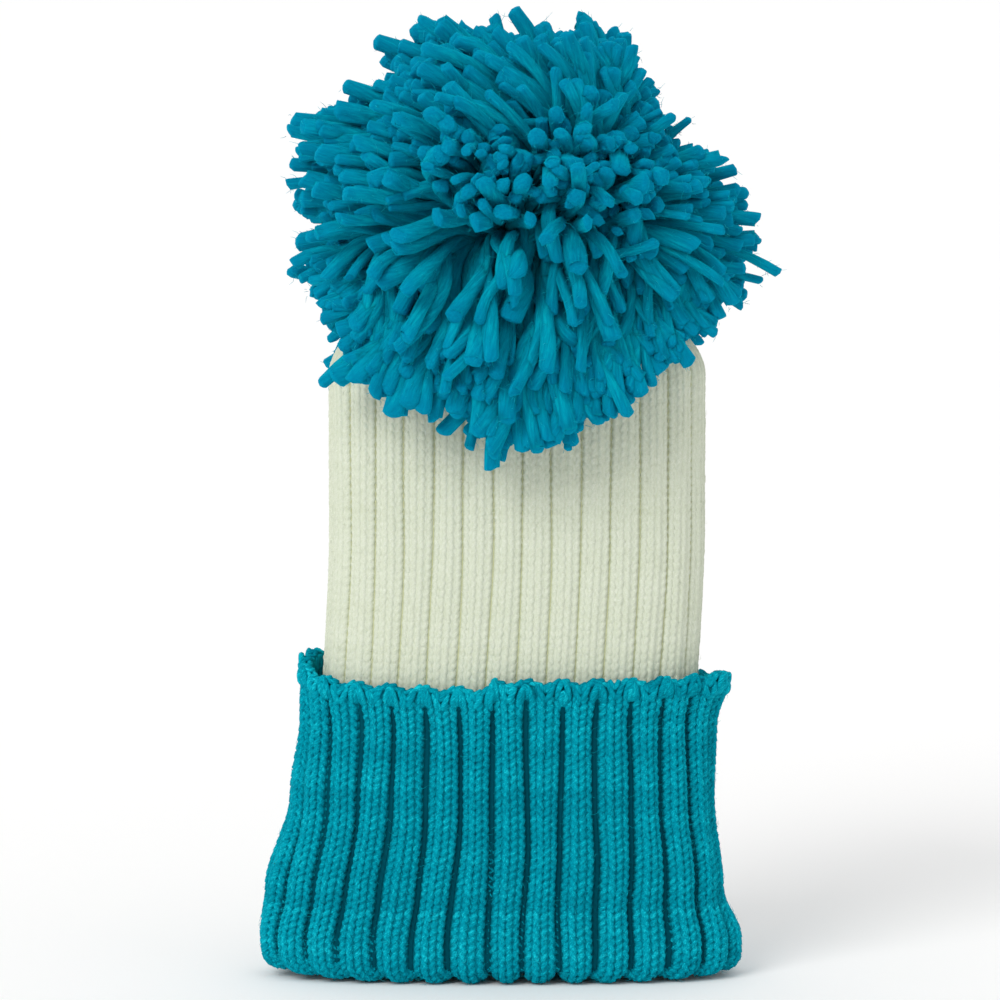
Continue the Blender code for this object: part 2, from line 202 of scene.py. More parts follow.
def tubes(
    name, body, look, paths, radii, ups, sides, closed=False,
    twist=0.0, tones=NONE[0, 0], oval=NONE[0, 0], slant=None, ridges=NONE,
):
    """A piece of tubes along paths of equal length: (tube, point, xyz). ups run across them.

    oval flattens each tube by a share, slant leans its cut end, and ridges are the share by
    which each of its sides stands out, at each point along it. The yarn field unrolls
    each tube straight, so that fibres follow it round every bend, and the tone field holds
    each tube's random tone and the share along it.
    """
    count, steps = paths.shape[:2]
    if closed:
        tangents = unit(np.roll(paths, -1, 1) - np.roll(paths, 1, 1))
    else:
        tangents = unit(np.gradient(paths, axis=1))
    facing = tangents.copy()
    if slant is not None:
        facing[:, -CUT_RINGS:] = unit(facing[:, -CUT_RINGS:] + slant[:, None])
    across = unit(np.cross(facing, ups))
    ups = np.cross(across, facing)
    turn = np.arange(sides) * math.tau / sides
    wide, deep = np.cos(turn) * (1.0 + oval)[:, None], np.sin(turn) * (1.0 - oval)[:, None]
    ring = wide[:, None, :, None] * across[:, :, None] + deep[:, None, :, None] * ups[:, :, None]
    ring = ring * (1.0 + ridges[..., None])
    points = paths[:, :, None] + radii[:, :, None, None] * ring
    spacing = np.linalg.norm(np.diff(paths, axis=1), axis=2)
    along = np.concatenate([np.zeros((count, 1)), np.cumsum(spacing, axis=1)], axis=1)
    angle = turn + twist * along[:, :, None]
    shift = (np.arange(count) * GRAIN_STEP)[:, None, None]
    reach = radii[:, :, None]
    unrolled = reach * np.cos(angle) + shift, reach * np.sin(angle), along[:, :, None]
    share = (along / along[:, -1:])[:, :, None]
    tone = tones[:, None, None], share, np.zeros((count, steps, sides))
    yarn, tone = (np.stack(np.broadcast_arrays(*field), -1) for field in (unrolled, tone))
    starts = np.arange(count)[:, None, None] * steps * sides
    quads = (grid_quads(steps, sides, closed)[None] + starts).reshape(-1, 4)
    points = points.reshape(-1, 3)
    if closed:
        return new_piece(body, look, build_mesh(name, points, quads, yarn=yarn, tone=tone))
    ends = np.stack([paths[:, 0], paths[:, -1]], 1)
    ends += np.stack([-tangents[:, 0], tangents[:, -1]], 1) * radii[:, [0, -1], None] * CAP_RISE
    side = np.arange(sides)
    after = (side + 1) % sides
    last = (steps - 1) * sides
    caps = []
    for which, (one, other) in enumerate(((after, side), (side + last, after + last))):
        fans = np.stack([one, other, side], -1)[None] + starts
        fans[:, :, 2] = count * steps * sides + np.arange(count)[:, None] * 2 + which
        caps.append(fans.reshape(-1, 3))
    points, yarn, tone = (
        np.concatenate([field.reshape(-1, 3), tips.reshape(-1, 3)])
        for field, tips in (
            (points, ends), (yarn, yarn[:, [0, -1]].mean(axis=2)),
            (tone, tone[:, [0, -1]].mean(axis=2)),
        )
    )
    mesh = build_mesh(name, points, quads, np.concatenate(caps), yarn=yarn, tone=tone)
    return new_piece(body, look, mesh)


def curve_through(points, steps):
    """A smooth curve through some points, as this many points along it."""
    points = np.array(points, float)
    padded = np.concatenate([points[:1] * 2 - points[1:2], points, points[-1:] * 2 - points[-2:-1]])
    place = np.linspace(0.0, len(points) - 1, steps)
    piece = np.minimum(place.astype(int), len(points) - 2)
    t = (place - piece)[:, None]
    p0, p1, p2, p3 = (padded[piece + k] for k in range(4))
    bend = 2 * p0 - 5 * p1 + 4 * p2 - p3
    return 0.5 * (2 * p1 + (p2 - p0) * t + bend * t**2 + (3 * p1 - p0 - 3 * p2 + p3) * t**3)


# ---- the cloth's surfaces ----


def between(stations, share):
    """Values at a share of the height, eased from each station to the next."""
    table = np.array(stations)
    share = min(max(share, table[0, 0]), table[-1, 0])
    high = max(int(np.searchsorted(table[:, 0], share)), 1)
    low = high - 1
    part = smooth((share - table[low, 0]) / (table[high, 0] - table[low, 0]))
    return table[low, 1:] + (table[high, 1:] - table[low, 1:]) * part


def section(centre_x, half_width, half_depth, z, groove_x):
    """Evenly spaced points round a flattened tube, anticlockwise, starting in one front groove."""
    turn = np.linspace(0.0, math.tau, SECTION_SAMPLES)
    power = 2.0 / SECTION_POWER
    x = half_width * np.sign(np.cos(turn)) * np.abs(np.cos(turn)) ** power
    y = half_depth * np.sign(np.sin(turn)) * np.abs(np.sin(turn)) ** power
    length = np.concatenate([[0.0], np.cumsum(np.hypot(np.diff(x), np.diff(y)))])
    start = FRONT_SHARE * length[-1] + (groove_x - centre_x)
    wanted = start + length[-1] * np.arange(RIBS * COLUMNS) / (RIBS * COLUMNS)
    x_at = np.interp(wanted % length[-1], length, x)
    y_at = np.interp(wanted % length[-1], length, y)
    return np.stack([centre_x + x_at, y_at, np.full(len(wanted), z)], -1)


class Cloth:
    """A knitted surface through rings of points, read by rib, length along and height above it."""

    def __init__(self, rings, wander):
        self.grid = np.stack(rings)
        step = np.linalg.norm(np.diff(self.grid, axis=0), axis=2).mean(axis=1)
        self.along = np.concatenate([[0.0], np.cumsum(step)])
        around = np.roll(self.grid, -1, 1) - np.roll(self.grid, 1, 1)
        self.pitch = np.linalg.norm(around, axis=2).mean(axis=1) / 2 * COLUMNS
        self.normals = unit(np.cross(around, np.gradient(self.grid, axis=0)))
        self.wander = wander
        self.length = self.along[-1]

    def read(self, field, ribs, along):
        rows = np.interp(along, self.along, np.arange(len(self.along)))
        columns = (ribs % RIBS) * COLUMNS
        row = np.minimum(rows.astype(int), len(self.along) - 2)
        column = columns.astype(int) % (RIBS * COLUMNS)
        after = (column + 1) % (RIBS * COLUMNS)
        v, u = (rows - row)[..., None], (columns - np.floor(columns))[..., None]
        low = field[row, column] * (1 - u) + field[row, after] * u
        high = field[row + 1, column] * (1 - u) + field[row + 1, after] * u
        return low * (1 - v) + high * v

    def at(self, ribs, along, out):
        """Points this far out of the cloth's crests, and the way out of it there."""
        ribs = ribs + self.stray(ribs, along)
        normals = unit(self.read(self.normals, ribs, along))
        return self.read(self.grid, ribs, along) + out[..., None] * normals, normals

    def stray(self, ribs, along):
        """The ribs don't run quite straight: sideways shift, in ribs."""
        turn = math.tau * ribs / RIBS
        return self.wander * sum(
            size * np.sin(about * turn + up * along + phase)
            for size, about, up, phase in WANDER_WAVES
        )

    def scale(self, along):
        """The local pitch of the ribs, as a share of the widest."""
        return np.interp(along, self.along, self.pitch) / self.pitch.max()


def body_centre_x(z):
    return LEAN_X * smooth((LEAN_TOP_Z - z) / (LEAN_TOP_Z - JOIN_Z))


def crown_size(z):
    """Half-width and half-depth of the crown at these heights."""
    up = np.clip((z - SHOULDER_Z) / (CROWN_Z - SHOULDER_Z), 0.0, 1.0)
    close = np.sqrt(1.0 - up * up) ** CROWN_ROUNDNESS
    return (
        EYE_RADIUS + (BODY_HALF_WIDTH - EYE_RADIUS) * close,
        EYE_RADIUS + (BODY_HALF_DEPTH - EYE_RADIUS) * close,
    )


def body_cloth():
    heights = list(np.linspace(JOIN_Z, SHOULDER_Z, BODY_RINGS)[:-1])
    turn = np.linspace(0.0, math.pi / 2, CROWN_RINGS)
    heights += list(SHOULDER_Z + (CROWN_Z - SHOULDER_Z) * np.sin(turn))
    rings = []
    for z in heights:
        half_width, half_depth = crown_size(z)
        centre_x = float(body_centre_x(z))
        groove_x = centre_x + BODY_GROOVE_X * half_width / BODY_HALF_WIDTH
        rings.append(section(centre_x, half_width, half_depth, z, groove_x))
    return Cloth(rings, BODY_WANDER)


def cuff_outer(z, inset):
    centre, width, depth = between(CUFF_SHAPE, z / cuff_high.z)
    return (
        centre * CUFF_HALF_WIDTH,
        width * CUFF_HALF_WIDTH - inset,
        depth * CUFF_HALF_DEPTH - inset,
    )


def cuff_inner(z, inset):
    centre, half_width, half_depth = cuff_outer(z, WALL + LAYER_GAP + inset)
    share = smooth(z / INNER_STRAIGHT_Z)
    return (
        centre + (float(body_centre_x(JOIN_Z)) - centre) * share,
        half_width + (BODY_HALF_WIDTH - inset - half_width) * share,
        min(half_depth, BODY_HALF_DEPTH - inset),
    )


def lift(ring, outer):
    """Raises the fold to its corners and the rim to its sides and back, and waves the rim."""
    side = np.minimum(np.abs(ring[:, 0]) / CUFF_HALF_WIDTH, 1.0)
    z = ring[:, 2].copy()
    ring[:, 2] += FOLD_CORNER_LIFT * side**4 * (1.0 - smooth(z / FOLD_LIFT_TO_Z))
    if outer:
        rib = np.arange(len(ring)) / COLUMNS
        rim = smooth((z - RIM_LIFT_FROM_Z) / (RIM_Z - RIM_LIFT_FROM_Z))
        back = smooth(0.5 + ring[:, 1] / (2.0 * CUFF_HALF_DEPTH))
        lump = smooth((z - RIM_LUMP_FROM_Z) / (RIM_Z - RIM_LUMP_FROM_Z))
        from_seam = ((rib - SEAM_RIB) % RIBS) / RIBS
        step = SEAM_STEP * (0.5 - from_seam)
        tilt = -RIM_TILT * ring[:, 0] / CUFF_HALF_WIDTH
        ring[:, 2] += rim * (RIM_SIDE_LIFT * side**3 + (RIM_BACK_LIFT + tilt) * back + step)
        ring[:, 2] += lump * RIM_LUMP * np.cos(math.tau * rib)
    return ring


def cuff_groove_x(z):
    lean = smooth((z - CUFF_GROOVE_Z) / CUFF_GROOVE_RISE)
    return CUFF_GROOVE_LOW_X + (CUFF_GROOVE_X - CUFF_GROOVE_LOW_X) * lean


def cuff_cloth():
    """From the join down the inner layer, round the fold and up the outer layer to the rim."""
    half_wall = WALL / 2
    middle_turn = (WALL + LAYER_GAP) / 2
    turn_z = half_wall + middle_turn
    crest_turn = middle_turn + half_wall
    rings = []
    for z in np.linspace(JOIN_Z - JOIN_GAP, turn_z, INNER_RINGS):
        rings.append(lift(section(*cuff_inner(z, WALL), z, cuff_groove_x(z)), False))
    for angle in np.linspace(0.0, math.pi, FOLD_RINGS)[1:-1]:
        z = turn_z - crest_turn * math.sin(angle)
        inset = half_wall + middle_turn + crest_turn * math.cos(angle)
        rings.append(lift(section(*cuff_outer(z, inset), z, cuff_groove_x(z)), False))
    for z in np.linspace(turn_z, RIM_Z, OUTER_RINGS):
        rings.append(lift(section(*cuff_outer(z, 0.0), z, cuff_groove_x(z)), True))
    return Cloth(rings, CUFF_WANDER)


# ---- knitting on a cloth ----


class Rib:
    """A 2x2 rib: the width of its two knit columns, its shape, and the yarn that makes it."""

    def __init__(self, column, bulge, groove, yarn, relief, under, lean, tall, closes_at=None):
        self.column = column  # one column's width, in ribs
        self.bulge = bulge  # how far the rib's edges drop below its middle
        self.groove = groove  # depth of the groove's floor
        self.yarn = yarn  # the yarn's radius
        self.relief = relief  # how far a stitch's ends dive under its neighbours
        self.under = under  # how far the backing lies under the crests
        self.lean = lean  # how far a stitch's legs lean
        self.tall = tall  # a stitch's height, in rows
        self.closes_at = closes_at  # length along at which the groove ends

    def closed(self, along):
        """How far the groove has closed at this length along: 0 for open, 1 for shut."""
        if self.closes_at is None:
            return np.zeros_like(along)
        return smooth((along - self.closes_at + GROOVE_CLOSES_OVER) / GROOVE_CLOSES_OVER)

    def width(self, along):
        return self.column + (SHUT_WIDTH - self.column) * self.closed(along)

    def depth_share(self, along):
        return 1.0 - SHUT_RELIEF * self.closed(along)

    def height(self, across, along):
        """Height of the ribbed face at this many ribs from a rib's middle."""
        edge = np.abs(across) / self.width(along)
        crest = -self.bulge * np.minimum(edge, 1.0) ** 2.5
        floor = smooth((edge - RIB_EDGE) / RIB_SIDE)
        return (crest + (-self.groove - crest) * floor) * self.depth_share(along)


def knit_rows(name, cloth, rib, first, last, look, flip=1.0):
    """One closed yarn a row: two stitches a rib, then a dip through the groove behind."""
    t = np.linspace(-math.pi, math.pi, LOOP_POINTS)
    sideways = (t + rib.lean * np.sin(2 * t)) / math.tau
    upwards = 0.5 * rib.tall * np.cos(t) * flip
    inwards = 0.5 * (-np.cos(2 * t) - 1.0)
    dip = len(DIP_DEPTHS)
    rise = np.concatenate([upwards, upwards, np.full(dip, -0.5 * rib.tall * flip)])
    dive = np.concatenate([inwards, inwards, np.zeros(dip)]) * rib.relief
    dive[-dip:] -= DIP_DEPTHS
    starts = first + ROW * np.arange(round((last - first) / ROW))
    paths, ups, radii = [], [], []
    for start in starts:
        column = float(rib.width(np.array(start)))
        across = np.concatenate([
            (sideways - 0.5) * column, (sideways + 0.5) * column,
            0.5 + (0.5 - column) * DIP_ACROSS,
        ])
        ribs = (np.arange(RIBS)[:, None] + 0.5 + across[None]).ravel()
        scale = float(cloth.scale(np.array(start)))
        along = start + np.tile(rise, RIBS) * ROW + rng.normal(0.0, YARN_STRAY, len(ribs))
        along = np.clip(along, 0.0, cloth.length)
        thin = rib.yarn * min(1.0, THIN_YARN + YARN_TO_PITCH * scale)
        out = rib.height(np.tile(across, RIBS), along) + np.tile(dive, RIBS) - thin
        points, normals = cloth.at(ribs, along, out)
        paths.append(points)
        ups.append(normals)
        radii.append(thin * (1.0 + YARN_UNEVEN * rng.standard_normal(len(along))))
    return tubes(
        name, "cover", look, np.stack(paths), np.stack(radii), np.stack(ups), YARN_SIDES, True,
        twist=YARN_TWIST, tones=0.5 + 0.1 * rng.standard_normal(len(starts)),
    )


def backing(name, cloth, rib, look):
    """The closed cloth under the stitches: both faces ribbed, and joined at both edges."""
    steps = int(cloth.length / ROW * 2)
    along = np.linspace(0.0, cloth.length, steps)
    ribs = (np.arange(RIBS)[:, None] + BACKING_PARTS[None]).ravel()
    ribs_grid, along_grid = np.meshgrid(ribs, along)
    across = (ribs_grid % 1.0) - 0.5
    face = rib.height(across, along_grid)
    purl = smooth((np.abs(across) - rib.width(along_grid)) / PURL_SIDE)
    wave = np.cos(math.tau * along_grid / ROW) * np.cos(PURL_WAVES * math.tau * across)
    face = face - rib.under * (1 - purl) + purl * PURL_HEIGHT * wave
    back = -WALL - rib.height(0.5 - np.abs(across), along_grid) * BACK_RELIEF
    back = np.minimum(back, face - BACKING_MIN)
    outside, _ = cloth.at(ribs_grid, along_grid, face)
    inside, _ = cloth.at(ribs_grid, along_grid, back)
    points = np.concatenate([outside, inside[::-1]]).reshape(-1, 3)
    quads = grid_quads(2 * steps, len(ribs), closed_rows=True)
    # Painted shade: the groove floors are marked in the tone field's Z, for the material to darken
    # them.
    depth = np.concatenate([purl, purl[::-1]]).ravel()
    tone = np.stack([np.full(len(points), 0.5), np.zeros(len(points)), depth], -1)
    return new_piece("cover", look, build_mesh(name, points, quads, yarn=points, tone=tone))


# ---- stray fibres ----
FIBRE_RADIUS = 0.00005
FIBRE_STEPS = 3
FIBRE_CURL = 0.45  # sideways, as a share of its length
FIBRE_RISE = (0.05, 0.35)  # least rise, and the most above that
FIBRE_ARCH = 2.2  # radians of a sine that its rise follows
FIBRE_TIP = 0.4  # its tip's thickness
KNIT_FIBRE_LENGTH = (0.0010, 0.0020)  # least length, and the most above that
KNIT_FIBRE_SINK = 0.4  # how deep in the yarn it starts, in its radii


def stray_fibres(name, starts, ways, lengths, normals, body, look, radius=FIBRE_RADIUS):
    """Single fibres that stand off the yarn's surface and curl back towards it."""
    count = len(starts)
    s = np.linspace(0.0, 1.0, FIBRE_STEPS)[None, :, None]
    curl = np.cross(ways, normals) * rng.normal(0.0, FIBRE_CURL, (count, 1))
    lengths = lengths[:, None, None]
    rise = FIBRE_RISE[0] + FIBRE_RISE[1] * rng.random((count, 1, 1)) ** 2
    paths = starts[:, None] + lengths * (
        ways[:, None] * s + curl[:, None] * s**2 + normals[:, None] * rise * np.sin(FIBRE_ARCH * s)
    )
    radii = np.full((count, FIBRE_STEPS), radius)
    radii[:, -1] *= FIBRE_TIP
    ups = np.broadcast_to(normals[:, None] + 0.01, paths.shape)
    return tubes(name, body, look, paths, radii, ups, 3, tones=rng.random(count))


def knit_fuzz(name, cloth, rib, first, last, count, look):
    """Stray fibres over the knit between two lengths along its cloth."""
    across = (rng.random(count) * 2.0 - 1.0) * rib.column
    ribs = rng.integers(0, RIBS, count) + 0.5 + across
    along = first + (last - first) * rng.random(count)
    out = rib.height(across, along) - rib.yarn * KNIT_FIBRE_SINK
    starts, normals = cloth.at(ribs, along, out)
    ways = rng.normal(0.0, 1.0, (count, 3))
    ways = unit(ways - (ways * normals).sum(axis=1, keepdims=True) * normals)
    lengths = KNIT_FIBRE_LENGTH[0] + KNIT_FIBRE_LENGTH[1] * rng.random(count) ** 2
    return stray_fibres(name, starts, ways, lengths, normals, "cover", look)


# ---- the rim ----
EDGE_YARN = 0.00098
EDGE_UNEVEN = 0.07
EDGE_SIDES = 8
LOOP_STEPS = 19
LOOP_STRAY = (0.014, 0.0005, 0.0002)  # in ribs, along and out
RIM_PROBE = 0.002  # a point this far down the cloth shows the way up at its rim
# The left half of each loop, up to its middle. Its points are ribs from the groove, length
# below the rim, and height above the crests.
PETAL = (
    (-0.170, 0.0052, -0.0016), (-0.165, 0.0034, -0.0002), (-0.120, 0.0012, 0.0006),
    (0.000, -0.0008, 0.0007),
)
INNER_PETAL = (
    (-0.045, 0.0058, -0.0022), (-0.065, 0.0040, -0.0004), (-0.050, 0.0022, 0.0005),
    (0.000, 0.0012, 0.0007),
)
VALLEY = (
    (0.270, -0.0002, -0.0006), (0.345, 0.0014, 0.0004), (0.425, 0.0030, 0.0004),
    (0.500, 0.0042, -0.0006),
)
INNER_VALLEY = ((0.350, -0.0006, -0.0006), (0.425, 0.0004, 0.0003), (0.500, 0.0014, -0.0002))
CHAIN_LINKS = 4 * RIBS
CHAIN_STEPS = 11
CHAIN_REACH = 1.5  # how far on each link's bend lies, in links
CHAIN_SWING = 0.0011  # half of a link's width
CHAIN_LIFT, CHAIN_ARCH = 0.0008, 0.0005
CHAIN_DEPTH = 0.55  # how far back from the crests it lies, in cloth thicknesses
CHAIN_YARN = 0.9  # its yarn's thickness, as a share of the rim's


def both_halves(half):
    """A symmetrical shape's points, from its left half and its middle."""
    middle = half[-1][0]
    return [*half, *((2 * middle - across, *rest) for across, *rest in reversed(half[:-1]))]


def rim_loops(name, cloth, look):
    """The last stitches, drawn together over the grooves, and in a V down each rib."""
    paths, ups = [], []
    for half in (PETAL, INNER_PETAL, VALLEY, INNER_VALLEY):
        line = curve_through(both_halves(half), LOOP_STEPS)
        for groove in range(RIBS):
            stray = rng.normal(0.0, LOOP_STRAY, (1, 3))
            ribs, below, out = (line + stray).T
            over = np.maximum(-below, 0.0)
            along = np.minimum(cloth.length - below, cloth.length)
            points, normals = cloth.at(groove + ribs, along, out - EDGE_YARN)
            lower, _ = cloth.at(groove + ribs, along - RIM_PROBE, out - EDGE_YARN)
            paths.append(points + unit(points - lower) * over[:, None])
            ups.append(normals)
    count = len(paths)
    thick = EDGE_YARN * (1.0 + EDGE_UNEVEN * rng.standard_normal((count, 1)))
    radii = np.broadcast_to(thick, (count, LOOP_STEPS))
    return tubes(
        name, "cover", look, np.stack(paths), radii, np.stack(ups), EDGE_SIDES,
        twist=YARN_TWIST, tones=0.5 + 0.15 * rng.standard_normal(count),
    )


def cast_off_chain(name, cloth, look):
    """A chain of yarn links, one for each knit or purl column, lying along the rim's top."""
    t = np.linspace(-1.0, 1.0, CHAIN_STEPS)
    forward = CHAIN_REACH * (1.0 - t * t)
    sideways = CHAIN_SWING * np.sin(0.85 * math.pi * t)
    ribs = (np.arange(CHAIN_LINKS)[:, None] + forward[None]) / (CHAIN_LINKS / RIBS)
    along = np.full(ribs.shape, cloth.length)
    middle = np.full(ribs.shape, -WALL * CHAIN_DEPTH)
    base, normals = cloth.at(ribs, along, middle)
    lower, _ = cloth.at(ribs, along - RIM_PROBE, middle)
    up = unit(base - lower)
    arch = CHAIN_ARCH * np.cos(t * math.pi)[None, :, None]
    points = base + up * (CHAIN_LIFT + arch) + normals * sideways[None, :, None]
    thick = 1 + YARN_UNEVEN * rng.standard_normal((CHAIN_LINKS, 1))
    radii = np.full(ribs.shape, EDGE_YARN * CHAIN_YARN) * thick
    return tubes(
        name, "cover", look, points, radii, up + normals, EDGE_SIDES,
        twist=YARN_TWIST, tones=rng.random(CHAIN_LINKS),
    )


# ---- sewing and tying yarns ----
PLY_TWIST = 500.0
PLY_SIDES = 8
PLY_SWELL = 1.08  # the plies press together
KNOT_STEPS = 90
SEAM_SWING, SEAM_DEPTH = 0.0008, 0.2  # half of the zigzag's width, and its share in depth
SEAM_STEPS = 8  # points along one zigzag
GATHER_STEPS, GATHER_WAVES = 240, 15
GATHER_SWING, GATHER_RISE = 0.0006, 0.0004
TIE_STEPS, TIE_TURNS = 200, 3
TIE_YARN, TIE_SPREAD = 0.42, 0.6  # its yarn, and half of its turns' width, in its node's radii
TAIL_STEPS = 40


def plied(name, path, thickness, plies, turns, body, look, closed=False):
    """A yarn of plies twisted round a path. thickness is the whole yarn's radius."""
    if closed:
        tangents = unit(np.roll(path, -1, 0) - np.roll(path, 1, 0))
    else:
        tangents = unit(np.gradient(path, axis=0))
    upright = abs(tangents[0, 2]) >= 0.9
    across = [unit(np.cross(tangents[0], (1.0, 0.2, 0.0) if upright else (0.31, 0.23, 0.92)))]
    for tangent in tangents[1:]:
        across.append(unit(across[-1] - tangent * (across[-1] @ tangent)))
    across = np.stack(across)
    other = np.cross(tangents, across)
    ply = thickness / (1.0 + 1.0 / math.sin(math.pi / plies))
    angle = np.linspace(0.0, turns * math.tau, len(path), endpoint=not closed)
    angle = (angle + np.arange(plies)[:, None] * math.tau / plies)[..., None]
    paths = path + (thickness - ply) * (np.cos(angle) * across + np.sin(angle) * other)
    radii = np.full(paths.shape[:2], ply * PLY_SWELL)
    ups = np.broadcast_to(across[None], paths.shape)
    return tubes(
        name, body, look, paths, radii, ups, PLY_SIDES, closed,
        twist=PLY_TWIST, tones=rng.random(plies),
    )


def knot_path(low, high, thickness):
    """A closed trefoil knot of yarn that fills a box."""
    t = np.linspace(0.0, math.tau, KNOT_STEPS, endpoint=False)
    x, y = np.sin(t) + 2 * np.sin(2 * t), np.cos(t) - 2 * np.cos(2 * t)
    knot = np.stack([x, y, -np.sin(3 * t)], -1)
    knot /= np.abs(knot).max(axis=0)
    middle = np.array((low + high) / 2)
    half = np.array((high - low) / 2) - thickness
    return middle + knot * half


def seam(part, waves, look):
    """Yarn that sews a panel's edges together, zigzagging up the inside of the groove."""
    low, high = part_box(part + "_seam_yarn")
    radius = (high.x - low.x) / 2
    z = np.linspace(low.z + SEAM_SWING, high.z - SEAM_SWING, waves * SEAM_STEPS)
    phase = np.linspace(0.0, waves * math.tau, len(z))
    bow = 1.0 - (2.0 * (z - low.z) / (high.z - low.z) - 1.0) ** 2
    x = (low.x + high.x) / 2 + SEAM_SWING * np.sin(phase)
    y = high.y - radius + (low.y - high.y + 2 * radius) * bow
    path = np.stack([x, y + SEAM_DEPTH * SEAM_SWING * np.cos(phase), z], -1)
    return plied(part + "_seam_stitches", path, radius, 2, waves, "cover", look)


def gathering(look):
    """The yarn that draws the crown shut, in and out of its last stitches."""
    thickness = (gather_high.z - gather_low.z) / 2
    turn = np.linspace(0.0, math.tau, GATHER_STEPS, endpoint=False)
    reach = gather_high.x - thickness + GATHER_SWING * np.sin(GATHER_WAVES * turn)
    z = (gather_low.z + gather_high.z) / 2 + GATHER_RISE * np.cos(GATHER_WAVES * turn)
    ring = np.stack([reach * np.cos(turn), reach * np.sin(turn), z], -1)
    return plied("crown_gather_plies", ring, thickness, 3, 14, "cover", look, closed=True)


def windings(look):
    """The tie's turns round the pom-pom's waist, side by side."""
    radius = tie_high.y
    reach = tie_high.x - radius
    turn = np.linspace(0.0, TIE_TURNS * math.tau, TIE_STEPS)
    path = np.stack([
        TIE_CENTRE[0] + reach * np.sin(turn),
        np.linspace(-TIE_SPREAD, TIE_SPREAD, TIE_STEPS) * radius,
        TIE_CENTRE[2] - reach * np.cos(turn),
    ], -1)
    return plied("pom_tie_windings", path, radius * TIE_YARN, 2, 24, "pom", look)


def sewing_and_tying(cream, teal):
    """The seams, the gathered crown's drawstring, and the tie that holds the pom-pom."""
    made = [
        (seam("body", 40, cream), "body_seam_yarn", "cream_seam_yarn"),
        (seam("cuff", 27, teal), "cuff_seam_yarn", "teal_seam_yarn"),
        (gathering(cream), "crown_gather_yarn", "gather_yarn"),
        (windings(teal), "pom_tie", "tie_yarn"),
    ]
    for name, node_name, thickness, body, look, slot in (
        ("crown_gather_bow_knot", "crown_gather_knot", 0.0011, "cover", cream, "gather_yarn"),
        ("pom_tie_overhand_knot", "pom_tie_knot", 0.0012, "pom", teal, "tie_yarn"),
        ("pom_anchor_overhand_knot", "pom_anchor_knot", 0.0018, "tie_tails", teal, "tail_yarn"),
    ):
        path = knot_path(*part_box(node_name), thickness)
        knot = plied(name, path, thickness, 2, 9, body, look, closed=True)
        made.append((knot, node_name, slot))
    centre = np.linspace((0.0, 0.0, tails_low.z), (0.0, 0.0, tails_high.z), TAIL_STEPS)
    tails = plied("pom_tie_twisted_tails", centre, tails_high.x, 2, 2, "tie_tails", teal)
    made.append((tails, "pom_tie_tails", "tail_yarn"))
    for piece, node_name, slot in made:
        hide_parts(node_name)


# ---- the pom-pom ----
POM_HALF_WIDTH = (pom_high.x - pom_low.x) / 2
POM_RADII = np.array([POM_HALF_WIDTH, pom_high.y, POM_HALF_WIDTH * 0.93])
POM_CENTRE = np.array([
    (pom_high.x + pom_low.x) / 2 + 0.002, 0.0, pom_high.z - POM_RADII[2] - 0.001,
])
POM_LOBES = (  # across and up, change of reach, and how narrow it is
    ((0.94, -0.34), 0.035, 60),
    ((0.99, 0.10), -0.060, 60),
    ((0.79, 0.62), -0.240, 12),
    ((0.00, 1.00), -0.220, 90),
    ((-0.42, 0.91), 0.060, 60),
    ((-0.71, 0.71), -0.060, 40),
    ((-0.87, 0.50), 0.040, 90),
    ((-0.90, 0.42), 0.100, 60),
    ((-0.40, -0.92), -0.170, 60),
    ((0.20, -0.98), -0.060, 60),
    ((-0.17, -0.98), 0.080, 120),
    ((0.63, -0.77), -0.190, 8),
)
STRANDS = 2900
STRAND_RADIUS = 0.0022
STRAND_STEPS = 14
STRAND_SIDES = 11
ROVING_TWIST = 70.0
THICKNESS = (0.34, 0.42, 0.32)  # of a strand at the tie, gained by its middle and at its end
THICK_SPREAD, THINNEST, THICKEST = 0.16, 0.65, 1.30
LUMPS = ((0.10, 7.0), (0.04, 15.0))  # how uneven it is along its length, and how often
OVAL, CUT_SLANT = 0.28, 0.26  # how flat its section is at most, and how its cut slants
RIDGE, RIDGE_CHANGE = 0.090, 0.040  # how far its fibres stand out, and change along it
TIP_REACHES = (0.28, 0.52, 0.70)  # rings of its rounded cut end, in its radii
TIP_WIDTHS = np.array([0.95, 0.78, 0.46])
TIP_SHORTEST, TIP_MORE = 0.35, 0.75  # how far the rounding reaches, in its radii
CUT_LENGTH, CUT_SPREAD = 0.890, 0.060  # mean reach of the strands' ends, and its spread
CUT_SHORTER, CUT_LIMITS = 0.10, (0.68, 0.985)  # a few are cut this much shorter
LOCKS = 220  # that the strands lie together in
STRAND_JITTER, LOCK_JITTER = 0.045, 0.08  # how unevenly strands and locks are spread
LOCK_PULL = 0.25
LOCK_STRAY, STRAND_STRAY = 0.16, 0.13  # how far a whole lock and one strand lean aside
WAIST = 0.0066  # radius of the tied bundle
BUNDLE_FRONT = np.array([0.12, -1.0, 0.10])  # the way the bundle leaves the tie
BUNDLE_BACK = np.array([-0.08, 1.0, 0.05])
PARTING, PARTING_OVER = 0.20, 0.22  # below this share of the radius they hang
HANG_LEAST, HANG_MORE, HANG_DROP = 0.35, 0.70, 0.85  # how much, and how far they drop
FACE = np.array([0.08, 0.30])  # across and up: where the ends face straight out
FACE_SIZE, FACE_EDGE = np.array([0.60, 0.27]), 0.9
FACE_SQUEEZE = np.array([0.60, 0.0, 0.80])  # how straight they face
SPLAY, FAN_SPLAY = 0.40, 0.50  # how far those round the face, and above, turn away
TURN_AWAY, LIE_FLAT = 1.1, np.array([0.0, 0.75, 0.0])  # and lie along the surface
SWEEP = np.array([-1.60, 0.0, -0.25])  # the way the combed strands turn
COMB = 0.020  # how far right of their ends they run
DROOP = np.array([0.0, 0.0, 0.08])
